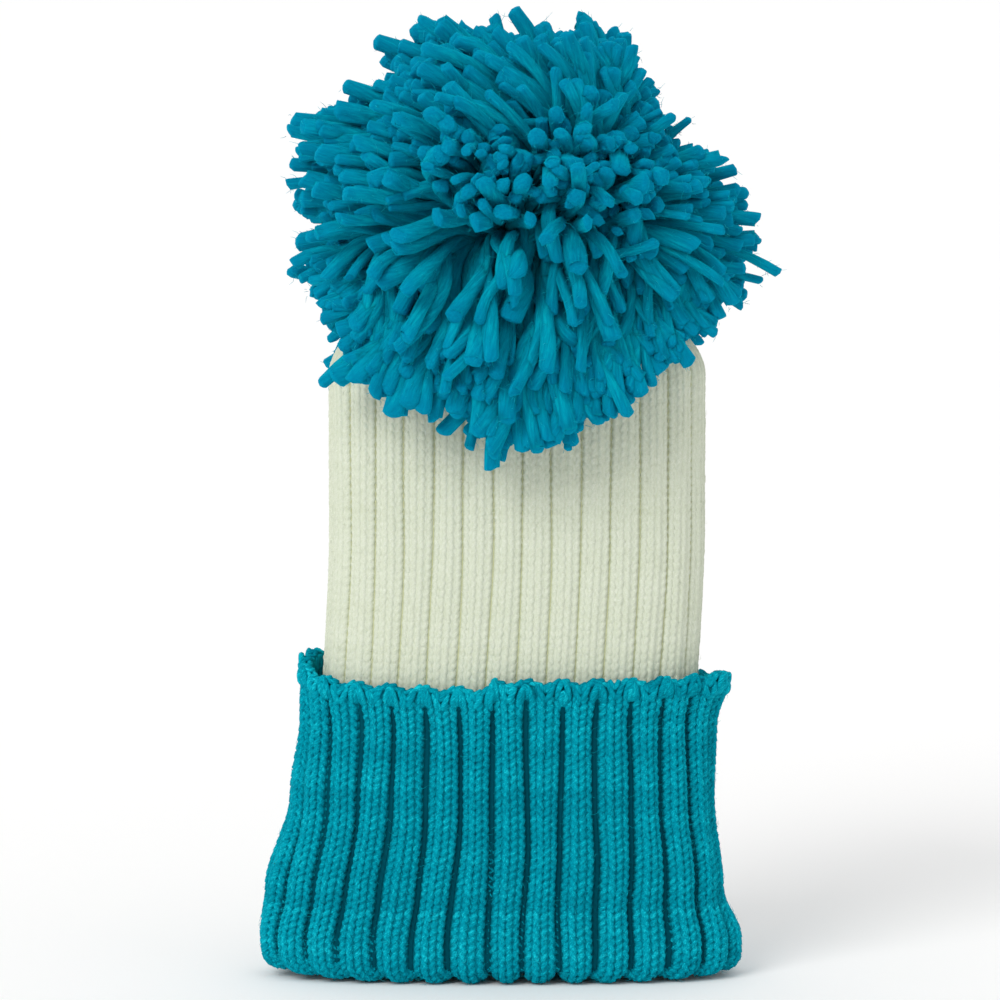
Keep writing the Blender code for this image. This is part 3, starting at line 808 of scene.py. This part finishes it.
SHELF = 0.42  # how soon the hanging strands are in place across
PARTING_X, PARTING_HALF_WIDTH = 0.004, 0.0035
SHORT_SHARE = 0.30  # of those hanging by the parting, cut short
SHORT_X, SHORT_HALF_WIDTH, SHORT_EDGE = 0.018, 0.035, 0.02  # where those are
SHORT_LEAST, SHORT_MORE, SHORT_OUT = 0.018, 0.030, 0.006  # how much shorter and further out
STRAYS = 28  # strands that stand out alone
STRAY_LEAST, STRAY_MORE = 0.02, 0.06
CALM_RIGHT, SLIM_RIGHT = 0.55, 0.17  # straighter and thinner strands
WAVES = ((0.0042, 4.5), (0.0016, 10.0))  # how far strands wave, and how often
KNOT_MARGIN = 0.0012  # further than from the crown, for its knot
TOP_MARGIN = 0.004  # of the strands' middles from the top
CROWN_MARGIN = STRAND_RADIUS + 0.0022  # of the strands' middles from the crown
CLEAR_STEP, CLEAR_ROUNDS = 0.001, 70
LAYER, LAYER_EDGE = 0.012, 0.03  # the hanging strands lie over each other this deep
LAYER_TOP, LAYER_REACH = 0.006, 0.075
POM_FIBRES = 48000
POM_FIBRE_RADIUS = 0.00008
POM_FIBRE_FROM, POM_FIBRE_TO = 0.70, 1.02  # share of the strand that they stand off
POM_FIBRE_SINK = 0.92  # where they start, in the strand's radii
POM_FIBRE_WAY = (0.7, 0.60, 0.30)  # along the strand, away from it and at random
POM_FIBRE_LEAST, POM_FIBRE_SHORT, POM_FIBRE_LONG = 0.0008, 0.0012, 0.0040
LONG_SHARE = 0.12  # of them that are long


def sphere_directions(count, turn=0.0):
    share = (np.arange(count) + 0.5) / count
    z = 1.0 - 2.0 * share
    angle = np.arange(count) * math.pi * (3.0 - math.sqrt(5.0)) + turn
    flat = np.sqrt(1.0 - z * z)
    return np.stack([flat * np.cos(angle), flat * np.sin(angle), z], -1)


def pom_reach(directions):
    """How far the cut ends reach: the trimming is uneven round the pom-pom."""
    reach = np.ones(len(directions))
    flat = unit(directions * (1.0, 0.3, 1.0))
    for (across, up), share, sharp in POM_LOBES:
        reach += share * np.maximum(flat @ np.array([across, 0.0, up]), 0.0) ** sharp
    return reach


def tilts():
    """The pom-pom's rest-to-posed transforms over both joints' ranges."""
    nod, sway = JOINTS["pom_nod"], JOINTS["pom_sway"]
    low, high = np.array(nod["pos_m"]), np.array(sway["pos_m"])
    found = []
    for a in np.radians(np.linspace(*nod["range_deg"], 5)):
        for b in np.radians(np.linspace(*sway["range_deg"], 5)):
            about_x = np.array(Matrix.Rotation(a, 3, "X"))
            about_y = np.array(Matrix.Rotation(b, 3, "Y"))
            found.append((about_x @ about_y, about_x @ (high - about_y @ high - low) + low))
    return found


def meets_crown(points, margin):
    """Whether each point, at any tilt of the pom-pom, comes within the margin of the crown."""
    hit = np.zeros(points.shape[:-1], bool)
    room = margin + KNOT_MARGIN
    for turn, shift in tilts():
        x, y, z = np.moveaxis(points @ turn.T + shift, -1, 0)
        half_width, half_depth = crown_size(z - margin)
        ratio = (np.abs(x) / (half_width + margin)) ** SECTION_POWER
        ratio = ratio + (np.abs(y) / (half_depth + margin)) ** SECTION_POWER
        hit |= (ratio < 1.0) & (z < CROWN_Z + margin)
        hit |= (np.hypot(x, y) < gather_high.x + margin) & (z < gather_high.z + margin)
        beside = (np.abs(x) < knot_high.x + room) & (y > 0.0) & (y < knot_high.y + room)
        hit |= beside & (z < knot_high.z + room)
    return hit


def strand_directions():
    """Where each strand's end points, how much of it hangs, and which lock it lies in."""
    directions = sphere_directions(STRANDS)
    directions = unit(directions + rng.normal(0.0, STRAND_JITTER, directions.shape))
    locks = sphere_directions(LOCKS, turn=1.0)
    locks = unit(locks + rng.normal(0.0, LOCK_JITTER, locks.shape))
    lock = np.argmax(directions @ locks.T, axis=1)
    directions = unit(directions + LOCK_PULL * (locks[lock] - directions))
    facing = np.abs(directions[:, 1])
    hang = smooth((PARTING - directions[:, 2]) / PARTING_OVER) * smooth(facing * 1.5)
    hang = (hang * (HANG_LEAST + HANG_MORE * rng.random(STRANDS)))[:, None]
    return unit(directions - (0.0, 0.0, HANG_DROP) * hang), hang, lock


def away_from_face(directions):
    """The way from the face's middle to each end, in the XZ plane, and how far outside it is."""
    offset = directions[:, [0, 2]] - FACE
    outside = smooth((np.linalg.norm(offset / FACE_SIZE, axis=1) - FACE_EDGE) / FACE_EDGE)
    away = unit(offset)
    return np.stack([away[:, 0], np.zeros(len(away)), away[:, 1]], -1), outside[:, None]


def swept(directions, outside):
    """How far each strand is combed over to the left: those above the face are."""
    up, right = directions[:, 2:], directions[:, :1]
    return smooth((up - 0.10) / 0.5) * smooth((0.65 - right) / 0.7) * outside


def departures(directions, hang, outside, side):
    """The way each strand leaves the tie: with its bundle, and opening towards its end."""
    facing = np.abs(directions[:, 1:2])
    sideways = 1.05 * (1.0 - 0.25 * facing) * directions[:, :1]
    upwards = 0.85 * (1.0 - 0.85 * facing) * directions[:, 2:] * (1.0 - hang) + 0.15 * hang
    forward = 0.40 + 0.60 * facing + 0.25 * facing * outside
    bundle = np.where(side < 0, BUNDLE_FRONT, BUNDLE_BACK)
    return unit(bundle * forward + np.concatenate([sideways, 0.0 * facing, upwards], axis=1))


def arrivals(directions, hang, stray):
    """The way each strand runs at its cut end."""
    away, outside = away_from_face(directions)
    squeeze = 1.0 - (1.0 - outside) * FACE_SQUEEZE - outside * LIE_FLAT
    arrive = directions * squeeze + TURN_AWAY * away * outside * np.abs(directions[:, 1:2])
    arrive += SWEEP * swept(directions, outside)
    fall = directions * (0.85, 0.15, 0.0) - (0.16, 0.0, 1.0)
    share = np.minimum(hang * 1.25, 1.0)
    arrive = arrive * (1.0 - share) + fall * share
    return unit(arrive + stray - DROOP)


def strand_tips(directions, cut, hang, side):
    """The cut ends: trimmed unevenly, some alone beyond the rest, some short by the parting."""
    reach = pom_reach(directions) * np.clip(cut, *CUT_LIMITS)
    edge = (np.abs(directions[:, 1]) < 0.45) & (np.abs(directions[:, 2] - 0.20) < 0.50)
    chosen = rng.choice(np.flatnonzero(edge), STRAYS)
    reach[chosen] += STRAY_LEAST + STRAY_MORE * rng.random(STRAYS)
    tips = POM_CENTRE + directions * POM_RADII * reach[:, None]
    beside = smooth((SHORT_HALF_WIDTH - np.abs(tips[:, 0] - SHORT_X)) / SHORT_EDGE)
    short = beside * (hang[:, 0] > 0.3) * (rng.random(STRANDS) < SHORT_SHARE)
    short = short * (SHORT_LEAST + SHORT_MORE * rng.random(STRANDS))
    tips += np.stack([0.0 * short, side[:, 0] * SHORT_OUT * (short > 0), short], -1)
    return tips


def strand_roots(directions):
    """Where each strand passes through the tie, spread over the bundle's waist."""
    turn = rng.random(STRANDS) * math.tau
    spread = WAIST * np.sqrt(rng.random(STRANDS))
    flat = unit(directions * (1.0, 0.0, 1.0))
    scatter = np.stack([np.cos(turn), np.zeros(STRANDS), np.sin(turn)], -1)
    return TIE_CENTRE + (0.5 * scatter + 0.5 * flat) * spread[:, None]


def strand_paths():
    """Every strand's middle line, from the tie to its cut end."""
    directions, hang, lock = strand_directions()
    side = np.where(directions[:, 1:2] < 0, -1.0, 1.0)
    cut = CUT_LENGTH + rng.normal(0.0, CUT_SPREAD, STRANDS)
    cut = cut - CUT_SHORTER * rng.random(STRANDS) ** 4
    away, outside = away_from_face(directions)
    splay = SPLAY + FAN_SPLAY * smooth((directions[:, 2:] + 0.25) / 0.5) * (1.0 - hang)
    directions = unit(directions + splay * away * outside * directions[:, 1:2] ** 2)
    tips = strand_tips(directions, cut, hang, side)
    roots = strand_roots(directions)
    length = np.linalg.norm(tips - roots, axis=1, keepdims=True)
    calm = 1.0 - CALM_RIGHT * smooth((directions[:, :1] - 0.35) / 0.4)
    stray = rng.normal(0.0, LOCK_STRAY, (LOCKS, 3))[lock]
    stray = (stray + rng.normal(0.0, STRAND_STRAY, (STRANDS, 3))) * calm
    tips = tips + stray * 0.006
    out = departures(directions, hang, outside, side) * length
    out = out * (0.80 + 0.9 * hang + 0.16 * rng.standard_normal((STRANDS, 1)))
    back = arrivals(directions, hang, stray) * length
    back = back * (0.90 + 0.4 * hang + 0.18 * rng.standard_normal((STRANDS, 1)))
    s = np.linspace(0.0, 1.0, STRAND_STEPS)[None, :, None]
    h0, h1 = 2 * s**3 - 3 * s**2 + 1, s**3 - 2 * s**2 + s
    h2, h3 = -2 * s**3 + 3 * s**2, s**3 - s**2
    paths = h0 * roots[:, None] + h1 * out[:, None] + h2 * tips[:, None] + h3 * back[:, None]
    across = SHELF * (tips[:, :1] - roots[:, :1])
    across = across + np.sign(tips[:, :1] - PARTING_X) * PARTING_HALF_WIDTH
    across = across * np.minimum(hang * 1.6, 1.0) + COMB * swept(directions, outside)
    paths[..., 0] += across * (6.75 * s * (1.0 - s) ** 2)[..., 0]
    for swing, waves in WAVES:
        sway = rng.normal(0.0, swing, (STRANDS, 1, 3)) * calm[:, None]
        paths = paths + sway * np.sin(waves * s + rng.random((STRANDS, 1, 1)) * 6.3) * s
    over = np.maximum(paths[..., 2].max(axis=1) - (pom_high.z - TOP_MARGIN), 0.0)
    paths[..., 2] -= over[:, None] * s[..., 0]
    return clear_of_crown(paths, side)


def clear_of_crown(paths, side):
    """Moves what would meet the crown out to its front or back, in uneven layers."""
    outwards = side[:, None] * (0.0, 1.0, 0.0)
    for _ in range(CLEAR_ROUNDS):
        hit = meets_crown(paths, CROWN_MARGIN)
        if not hit.any():
            break
        paths = paths + outwards * CLEAR_STEP * hit[..., None]
    low = smooth((CROWN_Z + LAYER_TOP - paths[..., 2]) / LAYER_EDGE)
    near = smooth((LAYER_REACH - np.abs(paths[..., 1])) / LAYER_EDGE)
    layer = rng.random(len(paths)) ** 1.3 * LAYER
    paths = paths + outwards * (layer[:, None] * low * near)[..., None]
    for _ in range(3):
        eased = paths.copy()
        eased[:, 1:-1] = paths[:, 1:-1] * 0.5 + (paths[:, :-2] + paths[:, 2:]) * 0.25
        paths = np.where(meets_crown(eased, CROWN_MARGIN)[..., None], paths, eased)
    return paths


def strand_radii(paths):
    """Thin where the tie squeezes the strand, uneven along it, fuller at its blunt cut end."""
    count = len(paths)
    share = np.linspace(0.0, 1.0, STRAND_STEPS)[None]
    tied, middle, end = THICKNESS
    swell = tied + middle * smooth(share / 0.5) + end * smooth((share - 0.45) / 0.50)
    phases = rng.random((len(LUMPS), count, 1)) * 6.3
    uneven = 1.0 + sum(
        size * np.sin(share * often + phase) for (size, often), phase in zip(LUMPS, phases)
    )
    thick = 1.0 + THICK_SPREAD * rng.standard_normal((count, 1))
    radii = STRAND_RADIUS * swell * uneven * np.clip(thick, THINNEST, THICKEST)
    radii = np.concatenate([radii, radii[:, -1:] * TIP_WIDTHS], axis=1)
    right = smooth(((paths[:, -1, :1] - POM_CENTRE[0]) / POM_HALF_WIDTH - 0.3) / 0.4)
    return radii * (1.0 - SLIM_RIGHT * right)


def octants(points):
    """A name for each eighth of the pom-pom, and which points lie in it."""
    beyond = points >= POM_CENTRE
    found = []
    for octant in range(8):
        right, back, high = octant & 1, octant >> 1 & 1, octant >> 2
        words = ("front", "back")[back], ("left", "right")[right], ("low", "high")[high]
        found.append(("_".join(words), (beyond == (right, back, high)).all(axis=1)))
    return found


def pom_fuzz(paths, radii, look):
    """Stray fibres that stand off the outer part of each strand."""
    chosen = rng.integers(0, len(paths), POM_FIBRES)
    share = POM_FIBRE_FROM + (POM_FIBRE_TO - POM_FIBRE_FROM) * rng.random(POM_FIBRES)
    place = share * (STRAND_STEPS - 1)
    step = np.minimum(place.astype(int), STRAND_STEPS - 2)
    here, after = paths[chosen, step], paths[chosen, step + 1]
    along = unit(after - here)
    away = unit(np.cross(along, rng.normal(0.0, 1.0, (POM_FIBRES, 3))))
    starts = here + (after - here) * (place - step)[:, None]
    starts = starts + away * radii[chosen, step, None] * POM_FIBRE_SINK
    onwards, outwards, anyhow = POM_FIBRE_WAY
    ways = along * onwards + away * outwards + rng.normal(0.0, anyhow, (POM_FIBRES, 3))
    ways = unit(ways)
    most = np.where(rng.random(POM_FIBRES) < LONG_SHARE, POM_FIBRE_LONG, POM_FIBRE_SHORT)
    lengths = POM_FIBRE_LEAST + most * rng.random(POM_FIBRES)
    normals = unit(away - ways * (away * ways).sum(axis=1, keepdims=True))
    for name, part in octants(starts):
        piece = stray_fibres(
            "pom_stray_fibres_" + name, starts[part], ways[part], lengths[part],
            normals[part], "pom", look, POM_FIBRE_RADIUS,
        )


def strands(look, fibre_look):
    """The cut strands, in eight pieces, and their stray fibres."""
    paths = strand_paths()
    count = len(paths)
    radii = strand_radii(paths)
    way = unit(paths[:, -1] - paths[:, -2]) * radii[:, STRAND_STEPS - 1, None]
    way = way * (TIP_SHORTEST + TIP_MORE * rng.random((count, 1)))
    rounding = [paths[:, -1] + way * reach for reach in TIP_REACHES]
    ended = np.concatenate([paths, np.stack(rounding, 1)], axis=1)
    reference = unit(np.cross(paths[:, -1] - paths[:, 0], rng.normal(0, 1, (count, 3))))
    ups = np.broadcast_to(reference[:, None], ended.shape)
    tones = rng.random(count)
    oval = OVAL * rng.random(count)
    slant = rng.normal(0.0, CUT_SLANT, (count, 3))
    ridges = RIDGE * rng.standard_normal((count, 1, STRAND_SIDES))
    change = rng.standard_normal((count, ended.shape[1], STRAND_SIDES))
    ridges = ridges + RIDGE_CHANGE * change
    made = [
        tubes(
            "pom_strands_" + name, "pom", look, ended[part], radii[part], ups[part],
            STRAND_SIDES, twist=ROVING_TWIST, tones=tones[part], oval=oval[part],
            slant=slant[part], ridges=ridges[part],
        )
        for name, part in octants(paths[:, -1])
    ]
    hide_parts("pom_strands")
    pom_fuzz(paths, radii, fibre_look)


# ---- materials ----
FINE_GRAIN = (2400.0, 2400.0, 650.0)  # fibres in a metre, across the yarn and along it
ROVING_GRAIN = (1100.0, 1100.0, 150.0)
RAMP_STOPS = (0.40, 0.57, 0.67, 0.78)  # shadow, yarn, lit yarn, glint
SHARES = (0.10, 0.20, 0.90)  # of the dye, the strand's own tone and the fibres in the colour
ROVING_SHARES = (0.16, 0.10, 0.95)
DYE_SCALE = 60.0  # changes of dye in a metre
BUMP_HEIGHT = 0.0006
CUT_END_FROM, CUT_END_SHARE = 0.88, 0.65  # where a cut end's colour begins, and its strength
CREAM_GLOSS, TEAL_GLOSS = 0.06, 0.02
FIBRE_FINISH = (0.8, 0.2, 0.0)  # roughness, sheen and bump of the stray fibres
# Each yarn's colours: the shadow between its fibres, the yarn, the lit yarn, a fibre's glint.
CREAM = ((0.565, 0.605, 0.45), (0.615, 0.66, 0.53), (0.65, 0.69, 0.565), (0.705, 0.735, 0.635))
# Painted shade: the cream's groove floors are coloured darker and yellower than the yarn.
CREAM_GROOVE_SHADE = (0.56, 0.58, 0.30)
CREAM_FIBRE = ((0.70, 0.74, 0.61), (0.73, 0.77, 0.64), (0.76, 0.79, 0.67), (0.80, 0.82, 0.72))
TEAL = ((0.0, 0.135, 0.198), (0.0, 0.262, 0.355), (0.0002, 0.345, 0.450), (0.010, 0.57, 0.67))
# Painted shade: the teal's groove floors are coloured far darker than the yarn.
TEAL_GROOVE_SHADE = (0.0, 0.080, 0.115)
TEAL_FIBRE = ((0.002, 0.34, 0.44), (0.004, 0.41, 0.51), (0.01, 0.48, 0.58), (0.03, 0.58, 0.67))
POM = ((0.0, 0.195, 0.285), (0.0, 0.255, 0.365), (0.0, 0.300, 0.415), (0.001, 0.375, 0.48))
POM_CUT_END = (0.0, 0.200, 0.365)
POM_FIBRE = ((0.002, 0.30, 0.42), (0.004, 0.36, 0.48), (0.01, 0.44, 0.55), (0.03, 0.54, 0.64))
SOFT_LIGHT = {  # a little light passes through the roving's surface
    "Subsurface Weight": 0.5, "Subsurface Scale": 0.002, "Subsurface Radius": (0.5, 1.0, 1.0),
}


def node(tree, kind, **inputs):
    """A shader node, its inputs set to values or linked from other nodes' outputs."""
    made = tree.nodes.new("ShaderNode" + kind)
    for key, value in inputs.items():
        socket = made.inputs[key.replace("_", " ")]
        if isinstance(value, bpy.types.NodeSocket):
            tree.links.new(value, socket)
        else:
            socket.default_value = value
    return made


def attribute(tree, name):
    made = node(tree, "Attribute")
    made.attribute_name = name
    return made.outputs["Vector"]


def weighed(tree, value, weight, add=0.0):
    """value * weight, plus another value."""
    made = node(tree, "Math")
    made.operation = "MULTIPLY_ADD"
    tree.links.new(value, made.inputs[0])
    made.inputs[1].default_value = weight
    if add:
        tree.links.new(add, made.inputs[2])
    else:
        made.inputs[2].default_value = 0.0
    return made.outputs[0]


def mixed(tree, share, colour, other):
    """A colour turned by a share towards another, fixed one."""
    mix = tree.nodes.new("ShaderNodeMix")
    mix.data_type = "RGBA"
    tree.links.new(share, mix.inputs["Factor"])
    tree.links.new(colour, mix.inputs["A"])
    mix.inputs["B"].default_value = (*other, 1)
    return mix.outputs["Result"]


def new_material(name, **inputs):
    look = bpy.data.materials.new(name)
    look.use_nodes = True
    shader = look.node_tree.nodes["Principled BSDF"]
    for key, value in inputs.items():
        shader.inputs[key.replace("_", " ")].default_value = value
    return look, look.node_tree, shader


def yarn_material(
    name, colours, roughness, sheen, bump, specular,
    grain=FINE_GRAIN, shares=SHARES, groove=None, cut_end=None,
):
    """Yarn: fibres along it, slow changes of dye, a tone of its own for each strand, and painted
    shade on the groove floors.
    """
    look, tree, shader = new_material(
        name, Roughness=roughness, Sheen_Weight=sheen, Sheen_Roughness=0.5,
        Sheen_Tint=(*colours[2], 1.0), Specular_IOR_Level=specular,
    )
    split = node(tree, "SeparateXYZ", Vector=attribute(tree, "tone")).outputs
    unrolled = node(tree, "Mapping", Vector=attribute(tree, "yarn"), Scale=grain).outputs[0]
    noise = node(tree, "TexNoise", Vector=unrolled, Scale=1.0, Detail=3.0, Roughness=0.62)
    fibres = noise.outputs["Fac"]
    place = node(tree, "TexCoord").outputs["Object"]
    dye = node(tree, "TexNoise", Vector=place, Scale=DYE_SCALE, Detail=2.0, Roughness=0.5)
    shade = weighed(tree, dye.outputs["Fac"], shares[0])
    shade = weighed(tree, split["X"], shares[1], shade)
    shade = weighed(tree, fibres, shares[2], shade)
    ramp = node(tree, "ValToRGB", Fac=shade)
    stops = ramp.color_ramp.elements
    while len(stops) < len(colours):
        stops.new(0.5)
    for stop, position, colour in zip(stops, RAMP_STOPS, colours):
        stop.position, stop.color = position, (*colour, 1.0)
    colour = ramp.outputs[0]
    # Painted shade: the groove floors are turned towards the darker groove colour.
    if groove:
        colour = mixed(tree, split["Z"], colour, groove)
    if cut_end:
        near_end = node(tree, "MapRange", From_Min=CUT_END_FROM, To_Max=CUT_END_SHARE)
        tree.links.new(split["Y"], near_end.inputs["Value"])
        colour = mixed(tree, near_end.outputs["Result"], colour, cut_end)
    lump = node(tree, "Bump", Strength=bump, Distance=BUMP_HEIGHT, Height=fibres)
    tree.links.new(colour, shader.inputs["Base Color"])
    tree.links.new(lump.outputs[0], shader.inputs["Normal"])
    return look


# ---- studio ----
CAMERA_TARGET = Vector((-0.0058, 0.0, 0.1626))
CAMERA_DISTANCE, CAMERA_ELEVATION = 2.0, math.radians(6.0)
SEEN_WIDTH, SENSOR_WIDTH = 0.339, 36.0
FLOOR_HALF_SIZE, FLOOR_COLOUR = 60.0, (0.98, 0.98, 0.98, 1.0)
FILL, KEY = 0.80, 1.35  # the white surroundings, and the soft lamp up on the left
KEY_WAY, KEY_ANGLE = (0.54, 0.78, -0.66), math.radians(30.0)
KEY_COLOUR = (1.0, 0.99, 0.97)


def add_camera():
    """Straight at the cover's front, a little above it, through a long lens."""
    away = Vector((0.0, -math.cos(CAMERA_ELEVATION), math.sin(CAMERA_ELEVATION)))
    data = bpy.data.cameras.new("camera")
    camera = placed(bpy.data.objects.new("camera", data))
    camera.location = CAMERA_TARGET + CAMERA_DISTANCE * away
    camera.rotation_mode = "QUATERNION"
    camera.rotation_quaternion = (CAMERA_TARGET - camera.location).to_track_quat("-Z", "Y")
    data.sensor_width = SENSOR_WIDTH
    data.lens = SENSOR_WIDTH * CAMERA_DISTANCE / SEEN_WIDTH
    data.clip_start, data.clip_end = 0.05, 200.0
    bpy.context.scene.camera = camera


def add_floor():
    corners = FLOOR_HALF_SIZE * np.array([(-1.0, -1, 0), (1, -1, 0), (1, 1, 0), (-1, 1, 0)])
    mesh = build_mesh("floor", corners, np.array([[0, 1, 2, 3]]))
    look, _, _ = new_material("floor_white", Base_Color=FLOOR_COLOUR, Roughness=0.9)
    mesh.materials.append(look)
    placed(bpy.data.objects.new("floor", mesh))


def add_key():
    data = bpy.data.lights.new("key", "SUN")
    data.energy, data.angle, data.color = KEY, KEY_ANGLE, KEY_COLOUR
    light = placed(bpy.data.objects.new("key", data))
    light.rotation_mode = "QUATERNION"
    light.rotation_quaternion = Vector(KEY_WAY).to_track_quat("-Z", "Y")


def add_studio():
    """White surroundings that show as plain white, and the key lamp."""
    world = bpy.data.worlds.new("studio")
    bpy.context.scene.world = world
    world.use_nodes = True
    tree = world.node_tree
    background = tree.nodes["Background"]
    background.inputs["Color"].default_value = (1.0, 1.0, 1.0, 1.0)
    seen = node(tree, "LightPath").outputs["Is Camera Ray"]
    strength = node(tree, "MapRange", Value=seen, To_Min=FILL, To_Max=1.0)
    tree.links.new(strength.outputs["Result"], background.inputs["Strength"])
    add_key()
    bpy.context.scene.view_settings.view_transform = "Standard"


# ---- the object ----
BODY_ROWS = np.array([0, 20, 40, 60])  # where each piece of knitting ends, up from the first
CUFF_ROWS = np.array([51, 34, 17, 0])  # and down from the last
BODY_RIB = Rib(
    column=0.470, bulge=0.0012, groove=0.0016, yarn=0.00124, relief=0.00058, under=0.0005,
    lean=1.12, tall=1.95,
)
BODY_FIBRES, BODY_FIBRES_FROM, BODY_FIBRES_TO = 4500, 0.03, 0.15
CUFF_FIBRES, CUFF_FIBRES_FROM = 6500, JOIN_Z - 0.01


def yarns():
    """The looks of the three yarns, and of their stray fibres."""
    cream = yarn_material(
        "cream_yarn", CREAM, 0.9, 0.2, 0.30, CREAM_GLOSS, groove=CREAM_GROOVE_SHADE,
    )
    teal = yarn_material("teal_yarn", TEAL, 0.85, 0.15, 0.35, TEAL_GLOSS, groove=TEAL_GROOVE_SHADE)
    pom = yarn_material(
        "pom_roving", POM, 0.9, 0.5, 1.0, TEAL_GLOSS, grain=ROVING_GRAIN, shares=ROVING_SHARES,
        cut_end=POM_CUT_END,
    )
    for socket, value in SOFT_LIGHT.items():
        pom.node_tree.nodes["Principled BSDF"].inputs[socket].default_value = value
    fibres = [
        yarn_material(name, colours, *FIBRE_FINISH, gloss) for name, colours, gloss in (
            ("cream_fibre", CREAM_FIBRE, CREAM_GLOSS), ("teal_fibre", TEAL_FIBRE, TEAL_GLOSS),
            ("pom_fibre", POM_FIBRE, TEAL_GLOSS),
        )
    ]
    return cream, teal, pom, *fibres


def main():
    cream, teal, pom_yarn, cream_fibre, teal_fibre, pom_fibre = yarns()
    body, cuff = body_cloth(), cuff_cloth()
    cuff_rib = Rib(
        column=0.402, bulge=0.0029, groove=0.0041, yarn=0.00106, relief=0.0015, under=0.0016,
        lean=1.42, tall=1.65, closes_at=cuff.length,
    )
    body_back = backing("body_cloth", body, BODY_RIB, cream)
    cuff_back = backing("cuff_cloth", cuff, cuff_rib, teal)
    body_edges = BODY_KNIT_FROM + ROW * BODY_ROWS
    cuff_edges = cuff.length - KNIT_TO_RIM - ROW * CUFF_ROWS
    body_knit = [
        knit_rows("body_stitches_" + part, body, BODY_RIB, first, last, cream)
        for part, first, last in zip(("low", "middle", "high"), body_edges, body_edges[1:])
    ]
    cuff_knit = [
        knit_rows("cuff_stitches_" + part, cuff, cuff_rib, first, last, teal, flip=-1.0)
        for part, first, last in zip(("fold", "middle", "rim"), cuff_edges, cuff_edges[1:])
    ]
    chain = cast_off_chain("cast_off_links", cuff, teal)
    loops = rim_loops("cast_off_loops", cuff, teal)
    body_knit.append(knit_fuzz(
        "body_stray_fibres", body, BODY_RIB, BODY_FIBRES_FROM, BODY_FIBRES_TO, BODY_FIBRES,
        cream_fibre,
    ))
    cuff_knit.append(knit_fuzz(
        "cuff_stray_fibres", cuff, cuff_rib, CUFF_FIBRES_FROM, cuff.length, CUFF_FIBRES,
        teal_fibre,
    ))
    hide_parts("body_tube")
    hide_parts("turned_up_cuff")
    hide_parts("cast_off_chain")
    sewing_and_tying(cream, teal)
    strands(pom_yarn, pom_fibre)
    add_floor()
    add_camera()
    add_studio()


main()
